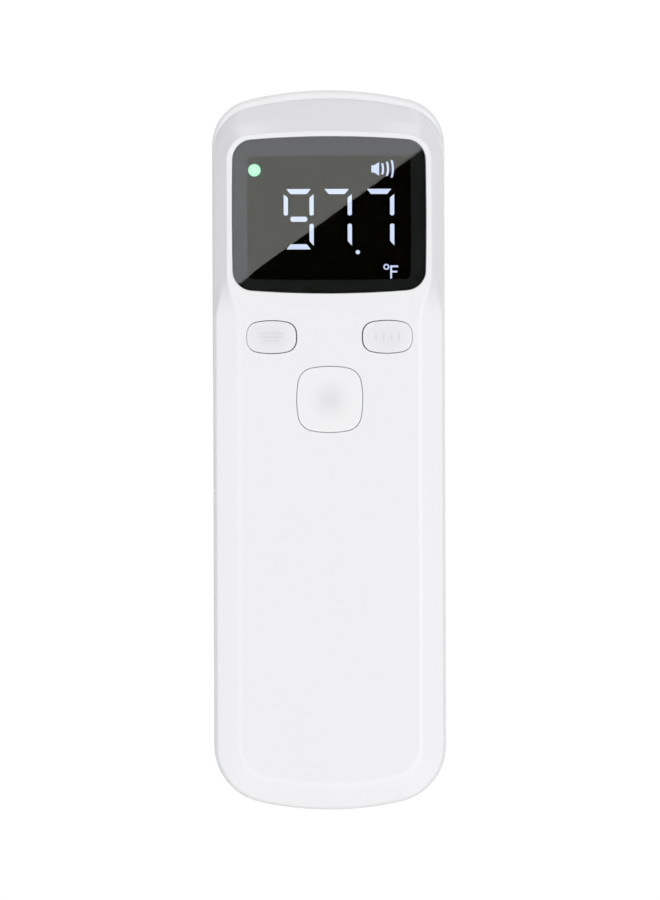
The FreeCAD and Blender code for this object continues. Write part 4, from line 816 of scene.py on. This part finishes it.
def painted_shade_cap(button, colour, middle_shade, ink, spread):
    """Cap plastic greyed round its middle by painted shade, with pale ink in its engraved marks."""
    made = Nodes(button.replace("button", "white"))
    middle = node_middle(button)
    reach = made.reach((middle.x, FRONT_Y, middle.z))
    plain = made.blend(made.noise(45, 3), grey(colour - 0.01), grey(colour))
    # Painted shade: the cap turns greyer towards its middle, standing in for the shading of a dished face.
    shaded_middle = made.blend(made.noise(200, 3), grey(middle_shade - 0.006), grey(middle_shade))
    cap = made.mixed(made.between(reach, 1, 0, spread[0] * MM, spread[1] * MM), plain, shaded_middle)
    upper, lower = FRONT_Y + MARK_DEPTH * 0.3, FRONT_Y + MARK_DEPTH * 0.8
    sunk = made.between(made.coordinate("Y"), 0, 1, upper * MM, lower * MM)
    near = made.between(reach, 1, 0, (MARK_REACH - 0.1) * MM, MARK_REACH * MM)
    filled = made.add("ShaderNodeMath", operation="MULTIPLY")
    made.link(sunk, filled.inputs[0])
    made.link(near, filled.inputs[1])
    inked = made.blend(made.noise(900, 3), grey(ink - 0.02), grey(ink))
    made.feed("Base Color", made.mixed(filled.outputs["Value"], cap, inked))
    made.feed("Roughness", made.between(made.noise(130, 4, 0.6), 0.27, 0.34))
    made.bump(made.noise(2400, 2), 0.0006)
    return made.material


def metal(name, colour, shade, rough, stretch=(1, 1, 1)):
    """Plated or turned metal with fine marks."""
    made = Nodes(name)
    made.feed("Base Color", made.blend(made.noise(300, 4), shade, colour))
    marks = made.noise(900, 4, 0.7, stretch)
    made.feed("Roughness", made.between(marks, rough * 0.7, rough * 1.4))
    made.bump(marks, 0.002)
    made.set(Metallic=1.0)
    return made.material


def window_material():
    """Polished clear acrylic with the faintest wipe marks."""
    made = Nodes("window_acrylic")
    wiped = made.noise(60, 5, 0.6, (1, 1, 0.3))
    made.feed("Roughness", made.between(wiped, 0.0, 0.0012))
    made.feed("Base Color", made.blend(made.noise(30), (0.94, 0.94, 0.94), (0.97, 0.97, 0.97)))
    made.set(Transmission_Weight=1.0, IOR=1.49)
    return made.material


def glow(name, colour, dim, strength):
    """A lit light guide of pale resin, a little uneven."""
    made = Nodes(name)
    patch = made.noise(900, 2)
    made.feed("Emission Color", made.blend(patch, dim, colour))
    made.feed("Roughness", made.between(patch, 0.3, 0.45))
    made.set(Base_Color=(0.05, 0.05, 0.05, 1), Emission_Strength=strength, Specular_IOR_Level=0.2)
    return made.material


def lamp_material():
    """Green lamp: nearly white over its diode, greener towards its rim."""
    made = Nodes("lamp_light")
    low, high = node_box("status_lamp")
    middle = ((low.x + high.x) / 2, low.y, (low.z + high.z) / 2)
    reach = made.between(made.reach(middle), 0, 1, 0.2 * MM, high.x * MM - middle[0] * MM)
    made.feed("Emission Color", made.blend(reach, (0.6, 1.0, 0.8), (0.34, 1.0, 0.55), 0, 1))
    made.feed("Roughness", made.between(made.noise(900), 0.3, 0.45))
    made.set(Base_Color=(0.05, 0.05, 0.05, 1), Emission_Strength=1.0, Specular_IOR_Level=0.2)
    return made.material


def board_material():
    """Green circuit board: solder mask over faint copper tracks and glass weave."""
    made = Nodes("board_mask")
    tracks = made.add("ShaderNodeTexBrick")
    tracks.inputs["Scale"].default_value = 260
    tracks.inputs["Mortar Size"].default_value = 0.018
    tracks.inputs["Color1"].default_value = (0.012, 0.11, 0.045, 1)
    tracks.inputs["Color2"].default_value = (0.016, 0.13, 0.055, 1)
    tracks.inputs["Mortar"].default_value = (0.03, 0.2, 0.08, 1)
    turn = made.add("ShaderNodeMapping")
    turn.inputs["Rotation"].default_value = (math.pi / 2, 0, 0)
    made.link(made.place, turn.inputs["Vector"])
    made.link(turn.outputs["Vector"], tracks.inputs["Vector"])
    made.feed("Base Color", tracks.outputs["Color"])
    weave = made.noise(1800, 2)
    made.feed("Roughness", made.between(weave, 0.28, 0.42))
    made.bump(weave, 0.003)
    return made.material


def cell_material(side):
    """Printed jacket of a dry cell: dark sleeve with a copper band at the end away from its spring."""
    made = Nodes(f"{side}_cell_jacket")
    low, high = node_box(f"{side}_cell")
    below, above, edge = 1, 0, low.z + COPPER_BAND
    if node_middle(f"{side}_spring").z < node_middle(f"{side}_cell").z:
        below, above, edge = 0, 1, high.z - COPPER_BAND
    band = made.between(made.coordinate("Z"), below, above, (edge - 0.1) * MM, (edge + 0.1) * MM)
    made.feed("Base Color", made.blend(band, (0.02, 0.022, 0.026), (0.55, 0.26, 0.1), 0.45, 0.55))
    wear = made.noise(500, 4)
    made.feed("Roughness", made.between(wear, 0.22, 0.4))
    made.bump(wear, 0.002)
    made.set(Metallic=0.6)
    return made.material


def floor_material():
    """Matt pale sweep with a very slight mottle."""
    made = Nodes("floor_paper")
    made.feed("Base Color", made.blend(made.noise(6, 3), (0.92, 0.92, 0.92), (0.96, 0.96, 0.96)))
    made.feed("Roughness", made.between(made.noise(40), 0.75, 0.9))
    return made.material


# ---------------------------------------------------------------- dressing

def dress(piece, material):
    """Give a piece one material."""
    piece.data.materials.clear()
    piece.data.materials.append(material)


def dress_node(name, material):
    """Give a carried CAD node one material."""
    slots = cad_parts[name].material_slots
    for item in slots:
        item.link = "OBJECT"
        item.material = material


def carried_materials():
    """Materials of the CAD nodes that stay."""
    black = moulded("display_black", (0.0034, 0.0030, 0.0012), (0.0028, 0.0025, 0.0009), 0.6, level=0)
    unlit = moulded("segment_dark", (0.0037, 0.0033, 0.0015), (0.0031, 0.0028, 0.0012), 0.5, level=0)
    mask = moulded(
        "border_print", (0.0240, 0.0268, 0.0254), (0.0230, 0.0257, 0.0244), 0.003,
        relief=0.00005, level=0.44, tint=(0.53, 0.53, 1.0),
    )
    foam = moulded("gasket_foam", (0.02, 0.02, 0.02), (0.012, 0.012, 0.012), 0.9, 4000, 0.01)
    resin = moulded("moulded_resin", (0.035, 0.035, 0.036), (0.022, 0.022, 0.023), 0.5, 3000, 0.003)
    tray = moulded("tray_plastic", (0.74, 0.74, 0.73), (0.68, 0.68, 0.67), 0.5, 1500, 0.002)
    steel = metal("nickel_plate", (0.66, 0.65, 0.62), (0.52, 0.51, 0.49), 0.28)
    gold = metal("gold_plate", (0.83, 0.62, 0.27), (0.7, 0.5, 0.2), 0.25)
    brass = metal("turned_brass", (0.72, 0.54, 0.26), (0.6, 0.43, 0.19), 0.3, (1, 30, 1))
    silicon = metal("silicon_filter", (0.1, 0.1, 0.11), (0.07, 0.07, 0.08), 0.08)
    amber = moulded("flex_film", (0.5, 0.24, 0.045), (0.42, 0.19, 0.03), 0.35, 900, 0.002)
    red = moulded("red_sleeve", (0.5, 0.02, 0.02), (0.4, 0.015, 0.015), 0.45)
    dark = moulded("black_sleeve", (0.02, 0.02, 0.02), (0.014, 0.014, 0.014), 0.45)
    lit = glow("segment_light", (0.69, 0.79, 1.0), (0.65, 0.75, 1.0), 1.04)
    sign = glow("sign_light", (0.64, 0.74, 1.0), (0.60, 0.70, 1.0), 1.0)
    lamp = lamp_material()
    board = board_material()
    chosen = {
        "window_mask": mask, "window_gasket": foam, "display_housing": black, "unlit_segments": unlit,
        "lit_segments": lit, "sound_sign": sign, "unit_sign": sign, "status_lamp": lamp,
        "main_board": board, "sensor_board": board,
        "left_cell": cell_material("left"), "right_cell": cell_material("right"),
        "battery_tray": tray, "sensor_sleeve": brass, "thermopile_window": silicon, "sensor_ribbon": amber,
        "red_lead": red, "black_lead": dark, "display_pins": gold, "thermopile_leads": gold,
    }
    for name in ("controller_chip", "chip_parts", "sounder", "scan_switch", "left_switch", "right_switch",
                 "ribbon_socket", "scan_plunger", "left_plunger", "right_plunger"):
        chosen[name] = resin
    for name in ("board_screws", "case_screws", "tray_screws", "sensor_screws", "crystal", "thermopile_can",
                 "left_spring", "right_spring", "bridge_contact", "positive_contact", "negative_contact"):
        chosen[name] = steel
    for name, material in chosen.items():
        dress_node(name, material)


def made_pieces():
    """The pieces made here: each rides on its body and stands for its CAD node."""
    case_white = moulded("case_white", (0.868, 0.868, 0.885), (0.858, 0.858, 0.876), 0.22)
    nozzle_grey = moulded("nozzle_grey", (0.1, 0.105, 0.11), (0.085, 0.09, 0.095), 0.38)
    plan = [
        (front_skin(), "case", "front_shell", "white_case", case_white),
        (rear_skin(), "case", "back_shell", "white_case", case_white),
        (cover_skin(), "battery_cover", "battery_cover", "white_case", case_white),
        (window_glass(), "case", "display_window", "smoked_window", window_material()),
        (nozzle_cone(), "case", "sensor_nozzle", "nozzle_grey", nozzle_grey),
    ]
    # Each button: radius and depth of its dish, its marks, greys of its plain surface, its painted shade and
    # its ink, and the distances from its middle over which the painted shade fades.
    for button, dish, marks, greys, spread in (
        ("scan_button", (3.4, 0.12), (), (0.865, 0.77, 0.77), (1.0, 4.6)),
        ("left_button", (3.0, 0.0), bar_marks(), (0.835, 0.785, 0.745), (1.5, 5.0)),
        ("right_button", (3.0, 0.0), level_marks(), (0.835, 0.8, 0.74), (1.5, 5.0)),
    ):
        cap = cap_piece(button, *dish, marks)
        plan.append((cap, button, button, "white_button", painted_shade_cap(button, *greys, spread)))
    for piece, body, stands_for, slot, material in plan:
        dress(piece, material)
        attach(piece, body)
        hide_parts(stands_for)


# ---------------------------------------------------------------- stage, light and camera

# Camera: where it aims, how far off it stands, its turn and lean, and the height that it takes in.
AIM = Vector((0.02, FRONT_Y, 74.45))
CAMERA_DISTANCE = 3000.0
CAMERA_AZIMUTH = math.radians(-0.8)
CAMERA_ROLL = math.radians(0.19)
FRAME_HEIGHT = 185.87
SENSOR = 36.0

FLOOR_Z, FLOOR_RADIUS, FLOOR_THICK = -85.0, 170.0, 6.0

# Where the edge of the lit card crosses the window, as shares of its half width and half height.
EDGE_LOW = (-0.927, -0.866)
EDGE_HIGH = (0.946, 0.837)
CARD_DISTANCE = 1600.0
CARD_WIDE, CARD_TALL = 240.0, 200.0
CARD_GLOW = 1.47
CARD_TONE = (1.0, 1.01, 0.92)

# Other lights: name, place, size and brightness.
LIGHTS = (
    ("right_strip", (490, -1600, 80), (120, 1600), 3.4),
    ("left_strip", (-490, -1600, 80), (80, 1600), 2.0),
    ("top_panel", (0, 900, 1100), (1200, 1200), 0.9),
    ("back_panel", (700, 1400, 500), (1400, 1200), 0.15),
)

# Brightness of the room in front of, beside and behind the case, how much brighter it is on the
# right, and the backdrop's. The zones are spans of a direction's Y, which is -1 straight in front.
ROOM_FRONT, ROOM_SIDE, ROOM_BACK = 1.62, 0.36, 0.85
ROOM_LEAN = 0.07
BACKDROP = 1.02
FRONT_ZONE, BACK_ZONE, DARK_ZONE = (-0.93, -0.57), (-0.1, 0.4), (-0.998, -0.988)


def camera_place():
    """Camera position in millimetres."""
    back = Vector((math.sin(CAMERA_AZIMUTH), -math.cos(CAMERA_AZIMUTH), 0))
    return AIM + back * CAMERA_DISTANCE


def make_camera():
    """Long lens straight at the front, with the case leaning by a fraction of a degree."""
    data = bpy.data.cameras.new("camera")
    data.sensor_width = SENSOR
    data.lens = SENSOR * CAMERA_DISTANCE / FRAME_HEIGHT
    data.clip_start, data.clip_end = 0.05, 20
    camera = bpy.data.objects.new("camera", data)
    bpy.context.scene.collection.objects.link(camera)
    place = camera_place()
    look = (AIM - place).to_track_quat("-Z", "Y").to_matrix()
    camera.location = place * MM
    camera.rotation_mode = "QUATERNION"
    camera.rotation_quaternion = (look @ Matrix.Rotation(-CAMERA_ROLL, 3, "Z")).to_quaternion()
    bpy.context.scene.camera = camera


def mirrored_on_card(share):
    """Where the camera sees a point of the window reflected, on the card's plane."""
    eye = camera_place()
    x = WINDOW_MIDDLE[0] + share[0] * WINDOW_HALF[0]
    z = WINDOW_MIDDLE[1] + share[1] * WINDOW_HALF[1]
    reach = CARD_DISTANCE / (FRONT_Y - eye.y)
    return Vector((x + (x - eye.x) * reach, z + (z - eye.z) * reach))


def area_light(name, place, aim, size, glow_level):
    """A rectangular light of even brightness."""
    data = bpy.data.lights.new(name, "AREA")
    data.shape = "RECTANGLE"
    data.size, data.size_y = size[0] * MM, size[1] * MM
    data.energy = glow_level * math.pi * data.size * data.size_y
    light = bpy.data.objects.new(name, data)
    bpy.context.scene.collection.objects.link(light)
    light.location = place * MM
    light.rotation_mode = "QUATERNION"
    light.rotation_quaternion = (aim - place).to_track_quat("-Z", "Y")
    return light


def make_card():
    """A lit card near the camera's line. Its lower edge shows as a slanting line in the window."""
    low, high = mirrored_on_card(EDGE_LOW), mirrored_on_card(EDGE_HIGH)
    along = (high - low).normalized()
    away = Vector((-along.y, along.x))
    middle = (low + high) / 2 + away * CARD_TALL / 2
    place = Vector((middle.x, FRONT_Y - CARD_DISTANCE, middle.y))
    light = area_light("card", place, place + Vector((0, 1, 0)), (CARD_WIDE, CARD_TALL), CARD_GLOW)
    light.data.color = CARD_TONE
    light.rotation_mode = "XYZ"
    light.rotation_euler = (math.pi / 2, -math.atan2(along.y, along.x), 0)


def make_lights():
    """A card and two strips in front, and wide weak panels above and behind for the other sides."""
    make_card()
    middle = Vector((0, 0, CASE_TOP / 2))
    for name, place, size, glow_level in LIGHTS:
        area_light(name, Vector(place), middle, size, glow_level)


def make_world():
    """White backdrop for the camera; for light, a room that is bright in front but for a dark middle."""
    world = bpy.data.worlds.new("room")
    bpy.context.scene.world = world
    world.use_nodes = True
    tree = world.node_tree
    tree.nodes.clear()

    def add(kind):
        return tree.nodes.new(kind)

    def ramp(start, end, low, high, axis="Y"):
        item = add("ShaderNodeMapRange")
        item.interpolation_type = "SMOOTHSTEP"
        for socket, value in zip(("From Min", "From Max", "To Min", "To Max"), (start, end, low, high)):
            item.inputs[socket].default_value = value
        tree.links.new(split.outputs[axis], item.inputs["Value"])
        return item.outputs["Result"]

    def math_node(operation, first, second):
        item = add("ShaderNodeMath")
        item.operation = operation
        tree.links.new(first, item.inputs[0])
        tree.links.new(second, item.inputs[1])
        return item.outputs["Value"]

    place = add("ShaderNodeTexCoord")
    split = add("ShaderNodeSeparateXYZ")
    tree.links.new(place.outputs["Generated"], split.inputs["Vector"])
    front = ramp(*FRONT_ZONE, ROOM_FRONT, ROOM_SIDE)
    back = ramp(*BACK_ZONE, 0.0, ROOM_BACK - ROOM_SIDE)
    hole = ramp(*DARK_ZONE, 0.0, 1.0)
    lean = ramp(-1, 1, 1 - ROOM_LEAN, 1 + ROOM_LEAN, "X")
    glow_level = math_node("MULTIPLY", math_node("MULTIPLY", math_node("ADD", front, back), hole), lean)
    room = add("ShaderNodeBackground")
    room.inputs["Color"].default_value = (1, 1, 1, 1)
    tree.links.new(glow_level, room.inputs["Strength"])
    backdrop = add("ShaderNodeBackground")
    backdrop.inputs["Color"].default_value = (1, 1, 1, 1)
    backdrop.inputs["Strength"].default_value = BACKDROP
    paths = add("ShaderNodeLightPath")
    mix = add("ShaderNodeMixShader")
    tree.links.new(paths.outputs["Is Camera Ray"], mix.inputs["Fac"])
    tree.links.new(room.outputs["Background"], mix.inputs[1])
    tree.links.new(backdrop.outputs["Background"], mix.inputs[2])
    output = add("ShaderNodeOutputWorld")
    tree.links.new(mix.outputs["Shader"], output.inputs["Surface"])


def make_floor():
    """A round pale floor, low enough for the cover to slide off above it."""
    edge_z, count = FLOOR_Z - FLOOR_THICK, 96
    rings = []
    for radius, z in ((60, FLOOR_Z), (120, FLOOR_Z), (FLOOR_RADIUS, FLOOR_Z), (FLOOR_RADIUS + 2, edge_z)):
        rings.append([(x, y, z) for x, y in disc_loop((0, 0), radius, count)])
    points, faces = bands(rings)
    faces.append(tuple(range(count)))
    piece = new_piece("floor", points, faces)
    dress(piece, floor_material())


bpy.context.scene.view_settings.view_transform = "Standard"
carried_materials()
made_pieces()
make_world()
make_lights()
make_floor()
make_camera()
